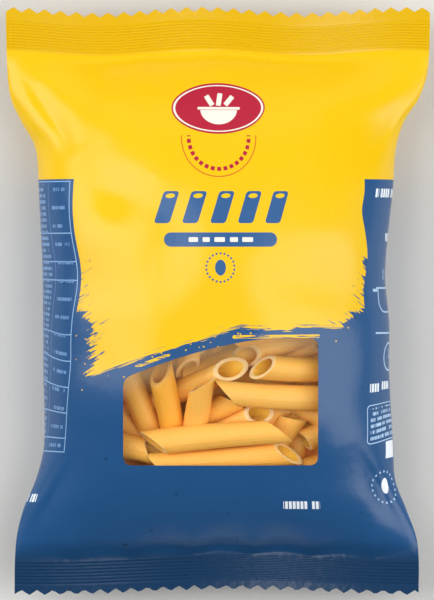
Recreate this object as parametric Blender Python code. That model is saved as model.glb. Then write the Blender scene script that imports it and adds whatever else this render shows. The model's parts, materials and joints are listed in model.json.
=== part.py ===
"""Pasta packet: a pillow bag of printed film, crimped and zigzag cut at both ends, lying on its back.

+Y runs to the top of the print, +X to its right and +Z up, out of the printed front. Lengths are in metres.
The origin lies under the middle of the packet, on the surface that it rests on.
"""

import math
import random

import bmesh
import bpy
from mathutils import Matrix, Vector

# The bag, from a flat tube of film 147 mm wide
PACK_LENGTH = 0.2035
SEAL_HEIGHT = 0.021
CROWN = 0.0306
BELLY = 0.0250
WALL = 0.0008
GAP = 0.0003

# Edges of the bag seen from the front: distance up it, then reach to the left and to the right
OUTLINE = (
    (-0.1060, 0.0704, 0.0693),
    (-0.0840, 0.0699, 0.0690),
    (-0.0720, 0.0673, 0.0651),
    (-0.0620, 0.0631, 0.0613),
    (-0.0500, 0.0602, 0.0606),
    (-0.0250, 0.0604, 0.0592),
    (-0.0080, 0.0605, 0.0592),
    (0.0100, 0.0607, 0.0578),
    (0.0400, 0.0621, 0.0606),
    (0.0530, 0.0632, 0.0616),
    (0.0620, 0.0680, 0.0643),
    (0.0700, 0.0716, 0.0694),
    (0.0800, 0.0728, 0.0725),
    (0.1060, 0.0735, 0.0735),
)
BODY_BOTTOM = -0.0894
BODY_TOP = 0.0866
BODY_ROWS = 26
ACROSS = 18

# Diagonal creases where the wide seal meets the narrower, thicker body: start, end and depth
CREASES = (
    ((-0.0680, 0.0800), (-0.0520, 0.0500), 0.0019),
    ((0.0700, 0.0770), (0.0540, 0.0490), 0.0016),
    ((-0.0670, -0.0840), (-0.0470, -0.0500), 0.0016),
    ((0.0660, -0.0830), (0.0460, -0.0480), 0.0018),
)
CREASE_WIDTH = 0.0042
CREASE_FULL_RISE = 0.006

# Crimped end seals and their zigzag cut
TOP_RIDGES = 9
TOP_RIDGE_PITCH = 0.00098
BOTTOM_RIDGES = 7
BOTTOM_RIDGE_PITCH = 0.00115
RIDGE_HEIGHT = 0.0002
BLANK_END = 0.1045
TOOTH_PITCH = 0.00544
TOOTH_DEPTH = 0.0019
SEAL_SWAY = 0.0010
SEAL_BUCKLE = 0.0012
SWAY_REACH = 0.025
TOP_SWAY_PLACE = -0.006
TOP_SWAY_LENGTH = 0.070
BOTTOM_SWAY_PLACE = 0.004
BOTTOM_SWAY_LENGTH = 0.130
TOP_BUCKLE_LENGTH = 0.096
TOP_BUCKLE_TURN = 0.6
BOTTOM_BUCKLE_LENGTH = 0.120
BOTTOM_BUCKLE_TURN = 2.1

# Lapped seam down the back
SEAM_LEFT = -0.0045
SEAM_RIGHT = 0.0070
SEAM_PROUD = 0.0005
SEAM_PAST_END = 0.0005
SEAM_PAST_FOLD = 0.0001

# Clear window, whose top edge sweeps down to the left
WINDOW_LEFT = -0.0323
WINDOW_RIGHT = 0.0340
WINDOW_BOTTOM = -0.0558
WINDOW_TOP = -0.0124
WINDOW_SWEEP_START = 0.0203
WINDOW_SWEEP_DROP = 0.0138
WINDOW_SWEEP_POWER = 1.6
WINDOW_CORNER = 0.0030
PANE = 0.0005
PANE_HALF_WIDTH = 0.042
PANE_MARGIN = 0.012

# Pasta: oblique-cut tubes on a plain core that fills the bag
CORE_INSET = 0.0042
DISH_FLOOR = 0.0325
DISH_LEFT = -0.0470
DISH_RIGHT = 0.0470
DISH_BOTTOM = -0.0740
DISH_TOP = 0.0080
TUBE_RADIUS = 0.0041
TUBE_BORE = 0.0029
TUBE_SIDES = 10
BORE_DEPTH = 0.0070
SHALLOWEST_AXIS = 0.0053

# Tubes behind the window. Each row is one end, the other end, and which way the cut leans in degrees.
# An end is its place across and up the bag, and the depth of the tube's axis below the film.
TUBES = (
    ((-0.0223, -0.0487, 0.0053), (0.0205, -0.0448, 0.0053), -20),
    ((-0.0190, -0.0560, 0.0064), (0.0241, -0.0523, 0.0056), 70),
    ((-0.0197, -0.0241, 0.0058), (-0.0132, -0.0600, 0.0150), -40),
    ((-0.0337, -0.0200, 0.0090), (-0.0200, -0.0540, 0.0150), 0),
    ((-0.0054, -0.0288, 0.0060), (-0.0100, -0.0630, 0.0150), 25),
    ((0.0043, -0.0233, 0.0085), (-0.0340, -0.0400, 0.0190), -80),
    ((0.0153, -0.0227, 0.0060), (0.0460, -0.0238, 0.0070), -130),
    ((0.0029, -0.0315, 0.0056), (0.0438, -0.0336, 0.0062), 20),
    ((0.0096, -0.0189, 0.0125), (0.0460, -0.0063, 0.0110), -90),
    ((-0.0104, -0.0232, 0.0130), (-0.0081, 0.0150, 0.0100), -60),
    ((0.0043, -0.0346, 0.0130), (-0.0250, -0.0510, 0.0200), 40),
    ((0.0141, -0.0384, 0.0120), (-0.0164, -0.0511, 0.0190), -75),
    ((0.0260, -0.0403, 0.0125), (0.0105, -0.0590, 0.0170), 30),
    ((0.0293, -0.0479, 0.0110), (0.0430, -0.0424, 0.0085), -40),
    ((0.0260, -0.0590, 0.0100), (0.0430, -0.0550, 0.0080), 90),
    ((-0.0430, -0.0487, 0.0075), (-0.0235, -0.0517, 0.0085), 10),
    ((-0.0400, -0.0330, 0.0170), (-0.0080, -0.0150, 0.0170), 90),
    ((-0.0080, -0.0250, 0.0180), (0.0290, -0.0110, 0.0170), 90),
    ((0.0060, -0.0120, 0.0110), (0.0420, -0.0090, 0.0100), 60),
    ((0.0200, -0.0420, 0.0200), (0.0460, -0.0370, 0.0170), 90),
)
LOOSE_SEED = 3
LOOSE_TUBES = 8
LOOSE_LENGTH = 0.036
LOOSE_DEPTH = 0.0175
LOOSE_FIRST_ROW = -0.048
LOOSE_ROW_PITCH = 0.028
LOOSE_SCATTER = 0.004
LOOSE_TURN = 0.5
LOOSE_SIDE_ROOM = 0.021

# Cutters, which reach past what they cut
CUTTER_TOP = 0.060
OPENING_FLOOR = SEAL_HEIGHT + 0.002
KNIFE_FLOOR = 0.004
KNIFE_TOP = 0.040
KNIFE_WIDTH = 0.160
KNIFE_END = 0.115
THINNEST_CAVITY = 0.002

FILM_YELLOW = (0.96, 0.62, 0.03, 1.0)
CLEAR_FILM = (0.93, 0.94, 0.93, 0.35)
DRY_PASTA = (0.94, 0.58, 0.18, 1.0)


def smooth_step(value):
    value = min(1.0, max(0.0, value))
    return value * value * (3 - 2 * value)


def edges_at(y):
    """Left and right edge of the bag at y, on a smooth curve through OUTLINE."""
    places = [row[0] for row in OUTLINE]
    low = max(i for i in range(len(places) - 1) if places[i] <= y or i == 0)
    span = places[low + 1] - places[low]
    share = (y - places[low]) / span

    def reach(column):
        def slope(i):
            before, after = max(i - 1, 0), min(i + 1, len(OUTLINE) - 1)
            return (OUTLINE[after][column] - OUTLINE[before][column]) / (places[after] - places[before])

        start, end = OUTLINE[low][column], OUTLINE[low + 1][column]
        square, cube = share**2, share**3
        return (
            (2 * cube - 3 * square + 1) * start
            + (cube - 2 * square + share) * span * slope(low)
            + (3 * square - 2 * cube) * end
            + (cube - square) * span * slope(low + 1)
        )

    return -reach(1), reach(2)


def swell(y):
    """How full the bag is at y: 0 from the seals outwards and 1 in the middle."""
    middle = (BODY_TOP + BODY_BOTTOM) / 2
    share = abs(y - middle) / ((BODY_TOP - BODY_BOTTOM) / 2)
    return max(0.0, 1 - share**3)


def dome(share, fullness):
    """Height across the bag, from 1 in the middle to 0 at its sides, which are sharp by the seals."""
    return (1 - min(1.0, abs(share)) ** 2.4) ** (0.9 - 0.4 * fullness)


def crease(x, y, rise):
    """How far the diagonal creases sink into the bag. They fade out at their ends and where the bag is thin."""
    place = Vector((x, y))
    sunk = 0.0
    for start, end, depth in CREASES:
        along = Vector(end) - Vector(start)
        share = (place - Vector(start)).dot(along) / along.length_squared
        if not 0 < share < 1:
            continue
        off = (place - Vector(start) - along * share).length
        sunk += depth * math.sin(math.pi * share) * math.exp(-((off / CREASE_WIDTH) ** 2))
    return sunk * min(1.0, rise / CREASE_FULL_RISE)


def height(x, y, face, inset=0.0):
    """Height of the front (face 1) or back (face -1) at x and y, or of a like surface inset into the bag."""
    left, right = edges_at(y)
    fullness = swell(y)
    half = (right - left) / 2 - side_inset(y, inset)
    share = (x - (left + right) / 2) / half
    reach = (CROWN if face > 0 else BELLY) * fullness - 1.15 * inset
    rise = max(0.0, reach) * dome(share, fullness)
    rise -= crease(x, y, rise)
    if inset == 0.0:
        rise += WALL / 2
    return max(inset, SEAL_HEIGHT + face * rise)


def side_inset(y, inset):
    """Room that an inset surface keeps to the bag's side, which is more where that side is sharp."""
    return inset * (1 + 2 * (1 - swell(y)))


def in_seal(y):
    """1 in the end seals, fading to 0 over SWAY_REACH into the body."""
    beyond = max(y - BODY_TOP, BODY_BOTTOM - y)
    return smooth_step(1 + beyond / SWAY_REACH)


def sway(x, y):
    """How far the end seal nearest to y bows inwards at x."""
    if y > 0:
        return -SEAL_SWAY * (1 - math.cos(math.tau * (x - TOP_SWAY_PLACE) / TOP_SWAY_LENGTH))
    return SEAL_SWAY * (1 + math.cos(math.tau * (x - BOTTOM_SWAY_PLACE) / BOTTOM_SWAY_LENGTH))


def buckle(x, y):
    """How far the end seal nearest to y lifts out of its plane at x."""
    if y > 0:
        return SEAL_BUCKLE * math.sin(math.tau * x / TOP_BUCKLE_LENGTH + TOP_BUCKLE_TURN)
    return SEAL_BUCKLE * math.sin(math.tau * x / BOTTOM_BUCKLE_LENGTH + BOTTOM_BUCKLE_TURN)


def crimp(y):
    """Height of the crimp ridges, which both layers of film follow."""
    for beyond, ridges, pitch in (
        (y - BODY_TOP, TOP_RIDGES, TOP_RIDGE_PITCH),
        (BODY_BOTTOM - y, BOTTOM_RIDGES, BOTTOM_RIDGE_PITCH),
    ):
        if 0 <= beyond <= ridges * pitch:
            return RIDGE_HEIGHT * (1 - abs((beyond / pitch) % 1 - 0.5) * 4)
    return 0.0


def on_bag(x, y, z):
    """The point x, y, z moved as the end seals sway and buckle."""
    weight = in_seal(y)
    return Vector((x, y + weight * sway(x, y), z + weight * buckle(x, y) + crimp(y)))


def bag_point(across, y, face, inset=0.0):
    """Point of the bag at across, from -1 at its left side to 1 at its right."""
    left, right = edges_at(y)
    half = (right - left) / 2 - side_inset(y, inset)
    x = (left + right) / 2 + half * math.sin(across * math.pi / 2)
    return on_bag(x, y, height(x, y, face, inset))


def seam_point(across, y, face):
    """Point of the lapped seam, which lies on the back and keeps inside the wall where the bag rests."""
    x = SEAM_LEFT + (SEAM_RIGHT - SEAM_LEFT) * (across + 1) / 2
    back = height(x, y, -1)
    if face > 0:
        return on_bag(x, y, back + 0.6 * WALL)
    return on_bag(x, y, max(0.3 * WALL, back - SEAM_PROUD))


def body_rows():
    return [BODY_BOTTOM + (BODY_TOP - BODY_BOTTOM) * i / BODY_ROWS for i in range(BODY_ROWS + 1)]


def bag_rows():
    """Rows of the bag from its bottom end to its top end, with two for each crimp ridge."""
    bottom = [BODY_BOTTOM - i * BOTTOM_RIDGE_PITCH / 2 for i in range(2 * BOTTOM_RIDGES, 0, -1)]
    top = [BODY_TOP + i * TOP_RIDGE_PITCH / 2 for i in range(1, 2 * TOP_RIDGES + 1)]
    return [-BLANK_END, *bottom, *body_rows(), *top, BLANK_END]


def seam_rows():
    """Rows of the seam, between those of the bag, past both of its ends."""
    rows = body_rows()
    between = [(low + high) / 2 for low, high in zip(rows, rows[1:])]
    low = [-BLANK_END - SEAM_PAST_END, BODY_BOTTOM - SEAM_PAST_FOLD]
    high = [BODY_TOP + SEAM_PAST_FOLD, BLANK_END + SEAM_PAST_END]
    return [*low, *between, *high]


def cavity_rows(inset):
    """Rows of a surface inset into the bag, where the bag is thick enough to hold it."""
    return [y for y in body_rows() if BELLY * swell(y) > 2.5 * inset + THINNEST_CAVITY]


def add_object(name, mesh_builder, collection, material=None):
    mesh = bpy.data.meshes.new(name)
    mesh_builder.to_mesh(mesh)
    mesh_builder.free()
    made = bpy.data.objects.new(name, mesh)
    collection.objects.link(made)
    if material:
        mesh.materials.append(material)
    return made


def loft(name, columns, rows, point, collection, material=None):
    """Closed solid between a front and a back sheet of columns by rows, whose corners point() places."""
    builder = bmesh.new()
    rims = []
    for face in (1, -1):
        made = bmesh.ops.create_grid(builder, x_segments=columns, y_segments=len(rows) - 1, size=1)
        for corner in made["verts"]:
            row = round((corner.co.y + 1) / 2 * (len(rows) - 1))
            corner.co = point(corner.co.x, rows[row], face)
        faces = {side for corner in made["verts"] for side in corner.link_faces}
        rims += [edge for side in faces for edge in side.edges if edge.is_boundary]
    bmesh.ops.bridge_loops(builder, edges=list(dict.fromkeys(rims)))
    bmesh.ops.recalc_face_normals(builder, faces=builder.faces)
    return add_object(name, builder, collection, material)


def prism(name, outline, low, high, collection):
    """Solid between two heights on a flat outline."""
    builder = bmesh.new()
    base = builder.faces.new([builder.verts.new((x, y, low)) for x, y in outline])
    raised = bmesh.ops.extrude_face_region(builder, geom=[base])
    corners = [item for item in raised["geom"] if isinstance(item, bmesh.types.BMVert)]
    bmesh.ops.translate(builder, verts=corners, vec=(0, 0, high - low))
    bmesh.ops.recalc_face_normals(builder, faces=builder.faces)
    return add_object(name, builder, collection)


def window_outline(margin=0.0):
    """Outline of the window, drawn in by margin, with rounded corners and its top edge swept down."""

    def top_edge(x):
        before = max(0.0, WINDOW_SWEEP_START - x)
        width = WINDOW_SWEEP_START - WINDOW_LEFT
        return WINDOW_TOP - WINDOW_SWEEP_DROP * (before / width) ** WINDOW_SWEEP_POWER

    def corner(before, tip, after, steps=5):
        before, tip, after = Vector(before), Vector(tip), Vector(after)
        for i in range(steps + 1):
            share = i / steps
            yield before.lerp(tip, share).lerp(tip.lerp(after, share), share)

    left, right = WINDOW_LEFT + margin, WINDOW_RIGHT - margin
    bottom, radius = WINDOW_BOTTOM + margin, WINDOW_CORNER
    high_right, high_left = top_edge(right) - margin, top_edge(left) - margin
    drop = top_edge(left + radius) - margin
    sweep = [right - radius - (right - left - 2 * radius) * i / 10 for i in range(1, 10)]
    return [
        *corner((left, bottom + radius), (left, bottom), (left + radius, bottom)),
        *corner((right - radius, bottom), (right, bottom), (right, bottom + radius)),
        *corner((right, high_right - radius), (right, high_right), (right - radius, high_right)),
        *[Vector((x, top_edge(x) - margin)) for x in sweep],
        *corner((left + radius, drop), (left, high_left), (left, high_left - radius)),
    ]


def knife_outline(end):
    """Outline of the waste beyond the zigzag cut at the top (end 1) or bottom (end -1)."""
    teeth = math.ceil(KNIFE_WIDTH / TOOTH_PITCH)
    points = []
    for i in range(2 * teeth + 1):
        x = (i - teeth) * TOOTH_PITCH / 2
        depth = TOOTH_DEPTH * (i % 2)
        points.append((x, end * (PACK_LENGTH / 2 - depth) + sway(x, end)))
    reach = teeth * TOOTH_PITCH / 2
    return [*points, (reach, end * KNIFE_END), (-reach, end * KNIFE_END)]


def cut(target, cutter, operation="DIFFERENCE"):
    modifier = target.modifiers.new(operation.title(), "BOOLEAN")
    modifier.operation = operation
    modifier.solver = "MANIFOLD"
    modifier.object = cutter


def tube(name, start, end, lean, collection):
    """Oblique-cut tube between two points. lean turns the parallel cuts about the tube, in degrees."""
    builder = bmesh.new()
    length = (end - start).length
    bmesh.ops.create_cone(
        builder,
        cap_ends=True,
        segments=TUBE_SIDES,
        radius1=TUBE_RADIUS,
        radius2=TUBE_RADIUS,
        depth=length,
    )
    caps = [side for side in builder.faces if len(side.verts) == TUBE_SIDES]
    bmesh.ops.inset_region(builder, faces=caps, thickness=TUBE_RADIUS - TUBE_BORE, use_even_offset=True)
    hollow = bmesh.ops.extrude_discrete_faces(builder, faces=caps)["faces"]
    for floor in hollow:
        inwards = -math.copysign(BORE_DEPTH, floor.calc_center_median().z)
        bmesh.ops.translate(builder, verts=floor.verts[:], vec=(0, 0, inwards))
    cut_lean = Vector((math.cos(math.radians(lean)), math.sin(math.radians(lean)), 0))
    for corner in builder.verts:
        corner.co.z -= corner.co.dot(cut_lean)
    along = (end - start).normalized()
    sideways = Vector((0, 0, 1)).cross(along).normalized()
    upwards = along.cross(sideways)
    turn = Matrix((sideways, upwards, along)).transposed().to_4x4()
    builder.transform(Matrix.Translation((start + end) / 2) @ turn)
    bmesh.ops.recalc_face_normals(builder, faces=builder.faces)
    return add_object(name, builder, collection)


def below_film(place):
    """The point at a place across and up the bag, and a depth below the film, square to it."""
    x, y, depth = place
    step = 0.001
    slope_x = (height(x + step, y, 1) - height(x - step, y, 1)) / (2 * step)
    slope_y = (height(x, y + step, 1) - height(x, y - step, 1)) / (2 * step)
    steepness = math.sqrt(1 + slope_x**2 + slope_y**2)
    return Vector((x, y, height(x, y, 1) - max(depth, SHALLOWEST_AXIS) * steepness))


def loose_tubes():
    """Ends of the tubes that fill the dish under those of TUBES."""
    draw = random.Random(LOOSE_SEED)
    columns = LOOSE_TUBES // 2
    for i in range(LOOSE_TUBES):
        x = DISH_LEFT + (DISH_RIGHT - DISH_LEFT) * (i % columns + 0.5) / columns
        y = LOOSE_FIRST_ROW + LOOSE_ROW_PITCH * (i // columns) + draw.uniform(-LOOSE_SCATTER, LOOSE_SCATTER)
        turn = draw.uniform(-LOOSE_TURN, LOOSE_TURN)
        half = Vector((math.cos(turn), math.sin(turn))) * LOOSE_LENGTH / 2
        x = min(max(x, DISH_LEFT + LOOSE_SIDE_ROOM), DISH_RIGHT - LOOSE_SIDE_ROOM)
        yield (x - half.x, y - half.y, LOOSE_DEPTH), (x + half.x, y + half.y, LOOSE_DEPTH), 90


def largest_piece(mesh):
    """Leaves only the largest closed surface of a mesh, without scraps or sealed hollows."""
    builder = bmesh.new()
    builder.from_mesh(mesh)
    bmesh.ops.triangulate(builder, faces=builder.faces)
    pieces, left = [], set(builder.faces)
    while left:
        reached, front = set(), [left.pop()]
        while front:
            side = front.pop()
            reached.add(side)
            plain = [edge for edge in side.edges if len(edge.link_faces) == 2]
            near = {face for edge in plain for face in edge.link_faces} & left
            left -= near
            front += near
        pieces.append(reached)
    largest = max(pieces, key=len)
    bmesh.ops.delete(builder, geom=[f for f in builder.faces if f not in largest], context="FACES")
    builder.to_mesh(mesh)
    builder.free()


def make_packet(parts, cutters, material):
    """The film bag, hollow inside, open only at the window."""
    packet = loft("packet", ACROSS, bag_rows(), bag_point, parts, material)
    seam = loft("seam", 2, seam_rows(), seam_point, cutters)
    cavity = loft("cavity", ACROSS, cavity_rows(WALL), lambda a, y, f: bag_point(a, y, f, WALL), cutters)
    opening = prism("opening", window_outline(), OPENING_FLOOR, CUTTER_TOP, cutters)
    cut(packet, cavity)
    cut(packet, opening)
    cut(packet, seam, "UNION")
    for name, end in (("top_knife", 1), ("bottom_knife", -1)):
        cut(packet, prism(name, knife_outline(end), KNIFE_FLOOR, KNIFE_TOP, cutters))
    return packet


def make_window(parts, cutters, material):
    """The clear part of the film, filling the opening flush with the front."""
    rows = [y for y in body_rows() if WINDOW_BOTTOM - PANE_MARGIN < y < WINDOW_TOP + PANE_MARGIN]

    def pane_point(across, y, face):
        inset = 0.0 if face > 0 else PANE
        x = PANE_HALF_WIDTH * across
        return Vector((x, y, height(x, y, 1) - inset))

    window = loft("window", 14, rows, pane_point, parts, material)
    frame = prism("pane_outline", window_outline(GAP), OPENING_FLOOR, CUTTER_TOP, cutters)
    cut(window, frame, "INTERSECT")
    return window


def make_pasta(parts, cutters, material):
    """The pasta: a plain core in the bag, dished behind the window, with the tubes that show fused on."""
    core = loft("core", 12, cavity_rows(CORE_INSET)[::2], lambda a, y, f: bag_point(a, y, f, CORE_INSET), cutters)
    dish_outline = [
        (DISH_LEFT, DISH_BOTTOM),
        (DISH_RIGHT, DISH_BOTTOM),
        (DISH_RIGHT, DISH_TOP),
        (DISH_LEFT, DISH_TOP),
    ]
    dish = prism("dish", dish_outline, DISH_FLOOR, CUTTER_TOP, cutters)
    tubes = bpy.data.collections.new("tubes")
    bpy.context.scene.collection.children.link(tubes)
    for i, (start, end, lean) in enumerate([*TUBES, *loose_tubes()]):
        tube(f"tube_{i}", below_film(start), below_film(end), lean, tubes)
    cut(core, dish)
    join = core.modifiers.new("Join", "BOOLEAN")
    join.operation = "UNION"
    join.operand_type = "COLLECTION"
    join.collection = tubes
    join.solver = "EXACT"
    join.use_self = True
    evaluated = core.evaluated_get(bpy.context.evaluated_depsgraph_get())
    mesh = bpy.data.meshes.new_from_object(evaluated)
    largest_piece(mesh)
    mesh.materials.clear()
    mesh.materials.append(material)
    pasta = bpy.data.objects.new("pasta", mesh)
    parts.objects.link(pasta)
    for spent in [*tubes.objects, core, dish]:
        bpy.data.objects.remove(spent)
    bpy.data.collections.remove(tubes)
    return pasta


def finish(name, colour, roughness):
    material = bpy.data.materials.new(name)
    material.use_nodes = True
    shader = material.node_tree.nodes["Principled BSDF"]
    shader.inputs["Base Color"].default_value = colour
    shader.inputs["Alpha"].default_value = colour[3]
    shader.inputs["Roughness"].default_value = roughness
    shader.inputs["Metallic"].default_value = 0.0
    return material


def main():
    for old in list(bpy.data.objects):
        bpy.data.objects.remove(old)
    parts = bpy.data.collections.new("pasta_packet")
    cutters = bpy.data.collections.new("cutters")
    for collection in (parts, cutters):
        bpy.context.scene.collection.children.link(collection)
    make_packet(parts, cutters, finish("printed_film", FILM_YELLOW, 0.45))
    make_window(parts, cutters, finish("clear_film", CLEAR_FILM, 0.15))
    make_pasta(parts, cutters, finish("dry_pasta", DRY_PASTA, 0.6))
    for helper in cutters.objects:
        helper.hide_render = True
        helper.display_type = "WIRE"
    for made in parts.objects:
        made.data.set_sharp_from_angle(angle=math.radians(35))


main()
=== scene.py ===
"""Looks of the pasta packet: a printed film bag with a clear window onto penne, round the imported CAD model.

Lengths are in millimetres and become metres when a mesh is finished. +Y runs to the top of the print and +Z
out of its front, as in the CAD. The flat film's own coordinates are u, round the bag from the middle of its
front, and v, which is y.
"""

import json
import math
import random

import bmesh
import bpy
from mathutils import Matrix, Vector, noise

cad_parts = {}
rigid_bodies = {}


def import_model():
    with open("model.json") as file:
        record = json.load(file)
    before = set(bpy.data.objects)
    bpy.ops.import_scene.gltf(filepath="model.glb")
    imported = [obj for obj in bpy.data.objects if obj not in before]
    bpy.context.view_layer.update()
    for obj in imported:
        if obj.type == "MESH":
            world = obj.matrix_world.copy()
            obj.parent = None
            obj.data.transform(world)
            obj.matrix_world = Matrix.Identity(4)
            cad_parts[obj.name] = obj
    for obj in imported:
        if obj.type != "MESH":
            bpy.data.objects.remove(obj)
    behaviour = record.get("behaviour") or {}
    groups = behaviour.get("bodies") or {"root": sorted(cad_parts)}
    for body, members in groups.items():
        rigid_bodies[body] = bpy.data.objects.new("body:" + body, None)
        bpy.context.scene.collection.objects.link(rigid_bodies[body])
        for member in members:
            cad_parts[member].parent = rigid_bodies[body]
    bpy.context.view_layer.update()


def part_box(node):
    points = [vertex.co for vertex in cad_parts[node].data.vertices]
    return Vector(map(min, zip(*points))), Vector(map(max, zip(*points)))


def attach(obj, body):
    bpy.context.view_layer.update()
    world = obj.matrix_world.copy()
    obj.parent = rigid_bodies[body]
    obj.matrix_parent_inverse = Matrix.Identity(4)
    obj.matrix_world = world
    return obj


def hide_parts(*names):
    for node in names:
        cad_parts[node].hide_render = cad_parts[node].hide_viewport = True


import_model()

TO_METRES = 0.001
TO_MILLIMETRES = 1000.0
bag_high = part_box("packet")[1] * TO_MILLIMETRES

# The bag's form, as in its CAD solid. Each row of OUTLINE is a place up the bag, and how far the bag reaches
# there to its left and to its right.
HALF_LENGTH = bag_high.y
SEAL_HEIGHT = 21.0
CAD_WALL = 0.8
CROWN = bag_high.z - SEAL_HEIGHT - CAD_WALL / 2
BELLY = 25.0
OUTLINE = (
    (-106.0, 70.4, 69.3),
    (-84.0, 69.9, 69.0),
    (-72.0, 67.3, 65.1),
    (-62.0, 63.1, 61.3),
    (-50.0, 60.2, 60.6),
    (-25.0, 60.4, 59.2),
    (-8.0, 60.5, 59.2),
    (10.0, 60.7, 57.8),
    (40.0, 62.1, 60.6),
    (53.0, 63.2, 61.6),
    (62.0, 68.0, 64.3),
    (70.0, 71.6, 69.4),
    (80.0, 72.8, 72.5),
    (106.0, 73.5, 73.5),
)
BODY_BOTTOM = -89.4
BODY_TOP = 86.6
HALF_GIRTH = 73.5
FOLD_EASE = 0.08
DOME_SQUARENESS = 2.4
SEAL_SHARPNESS = 0.9
BODY_SHARPNESS = 0.5

# Diagonal creases by the seals: where each starts and ends, and its depth
CREASES = (
    ((-69.0, 79.8), (-49.0, 50.5), 2.1),
    ((70.0, 77.0), (50.0, 46.0), 1.1),
    ((-67.0, -84.0), (-47.0, -50.0), 1.6),
    ((66.0, -83.0), (46.0, -48.0), 1.8),
)
CREASE_OUTSIDE = 2.4
CREASE_INSIDE = 7.0
CREASE_START_WIDTH = 0.4
CREASE_ROUNDNESS = 1.4
CREASE_FULL_RISE = 6.0

# Dents of the front: place, radius and depth
DENTS = (
    ((-35.0, 37.0), 7.5, 1.9),
    ((-20.0, 8.0), 9.0, 0.7),
    ((44.0, 62.0), 8.0, 1.0),
)

# Waves of the film: length across and up, what comes off the noise, and height
BROAD_WAVES = (30, 24, 0.45, 1.4)
FINE_WAVES = (11, 13, 0.4, 0.22)
PLEATS = (8, 70, 0.3, 0.5)
RELIEF_FULL_RISE = 8.0

# The end seals, which sway, buckle and meet the body in a scalloped fold
SEAL_SWAY = 1.0
TOP_SWAY_PLACE = -6
TOP_SWAY_LENGTH = 70
BOTTOM_SWAY_PLACE = 4
BOTTOM_SWAY_LENGTH = 130
SEAL_BUCKLE = 1.2
TOP_BUCKLE = (96, 0.6)
BOTTOM_BUCKLE = (120, 2.1)
SWAY_REACH = 25.0
TOP_SCALLOP = 1.2
TOP_SCALLOP_LENGTH = 22
BOTTOM_SCALLOP = 1.6
BOTTOM_SCALLOP_PLACE = -9
BOTTOM_SCALLOP_LENGTH = 21

# The film, finer than the solid
FILM_THICKNESS = 0.1
SEAL_HALF_THICKNESS = 0.16
FLOOR_CLEARANCE = 0.3
ACROSS = 108
SIDE_CLOSENESS = 1.5
BODY_ROWS = 122
STRIP_ROWS = 5
ROWS_A_RIDGE = 4
CRIMP_TOP = 87.9
CRIMP_BOTTOM = -90.1
TOP_RIDGES = 9
TOP_RIDGE_PITCH = 0.98
BOTTOM_RIDGES = 7
BOTTOM_RIDGE_PITCH = 1.15
TOP_RIDGE_HEIGHT = 0.16
BOTTOM_RIDGE_HEIGHT = 0.1
TOOTH_PITCH = 5.44
TOOTH_DEPTH = 1.8
SEAM_LEFT = -4.5
SEAM_RIGHT = 7.0
SEAM_COLUMNS = 6
SEAM_LEVELS = (0.02, -0.26)
SEAM_PRINT_PLACE = 120.0
FILM_SPAN = 300.0

# How the filled bag drags its print: where round the bag that sets in or ends, and over what length. Each
# bump is its place up the bag, its length and its height.
SIDEWAYS_FROM = (25, 20)
SAG_FROM = (54, 18)
DRAG_END = (125, 45)
LEFT_SLOPE = (-18, 44, 6.8)
LEFT_BUMPS = ((9, 14, -3.4),)
LEFT_SAG = (-20, 20, -3.0)
RIGHT_BUMPS = ((31, 5, 1.3), (15, 8, -1.9))
RIGHT_SAG = (-44, 14, -2.4)

# The window, whose top edge sweeps down to the left, and the veils of shade that the print's edges throw on
# its film: strength and reach
WINDOW_LEFT = -32.5
WINDOW_RIGHT = 34.3
WINDOW_BOTTOM = -56.4
WINDOW_TOP = -12.7
WINDOW_SWEEP_START = 20.3
WINDOW_SWEEP_DROP = 13.8
WINDOW_SWEEP_POWER = 1.6
WINDOW_CORNER = 3.0
SWEEP_STEPS = 24
CORNER_STEPS = 8
CUTTER_BASE = SEAL_HEIGHT + 3
CUTTER_RISE = 40
PANE_COLUMNS = 70
PANE_ROWS = 50
PANE_MARGIN = 1.4
PANE_DEPTH = 1.3 * FILM_THICKNESS
VEIL_TOP = (0.9, 9.0)
VEIL_LEFT = (0.2, 6.0)

# Under the veil the clear film's brownish shine layer is painted shade
# How much of the clear film is shine: square on, what grazing sight adds, what the veil adds, and at most
SHINE = 0.025
GRAZING_SHINE = 0.9
VEIL_SHADE_SHARE = 0.35
MOST_SHINE = 0.9

# The pasta
PENNE_RADIUS = 4.15
PENNE_BORE = 2.95
PENNE_LENGTH = 40.0
PENNE_SIDES = 28
PENNE_RINGS = 14
PENNE_KINDS = 3
PENNE_BEND = 0.8
PENNE_FLATTENING = 0.05
PENNE_BULGE = (0.05, 0.15)
PENNE_UNEVENNESS = 0.05
CUT_ROUNDING = 0.16
DRAG_MARKS = 50.0
SHALLOWEST_AXIS = 5.3

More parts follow.
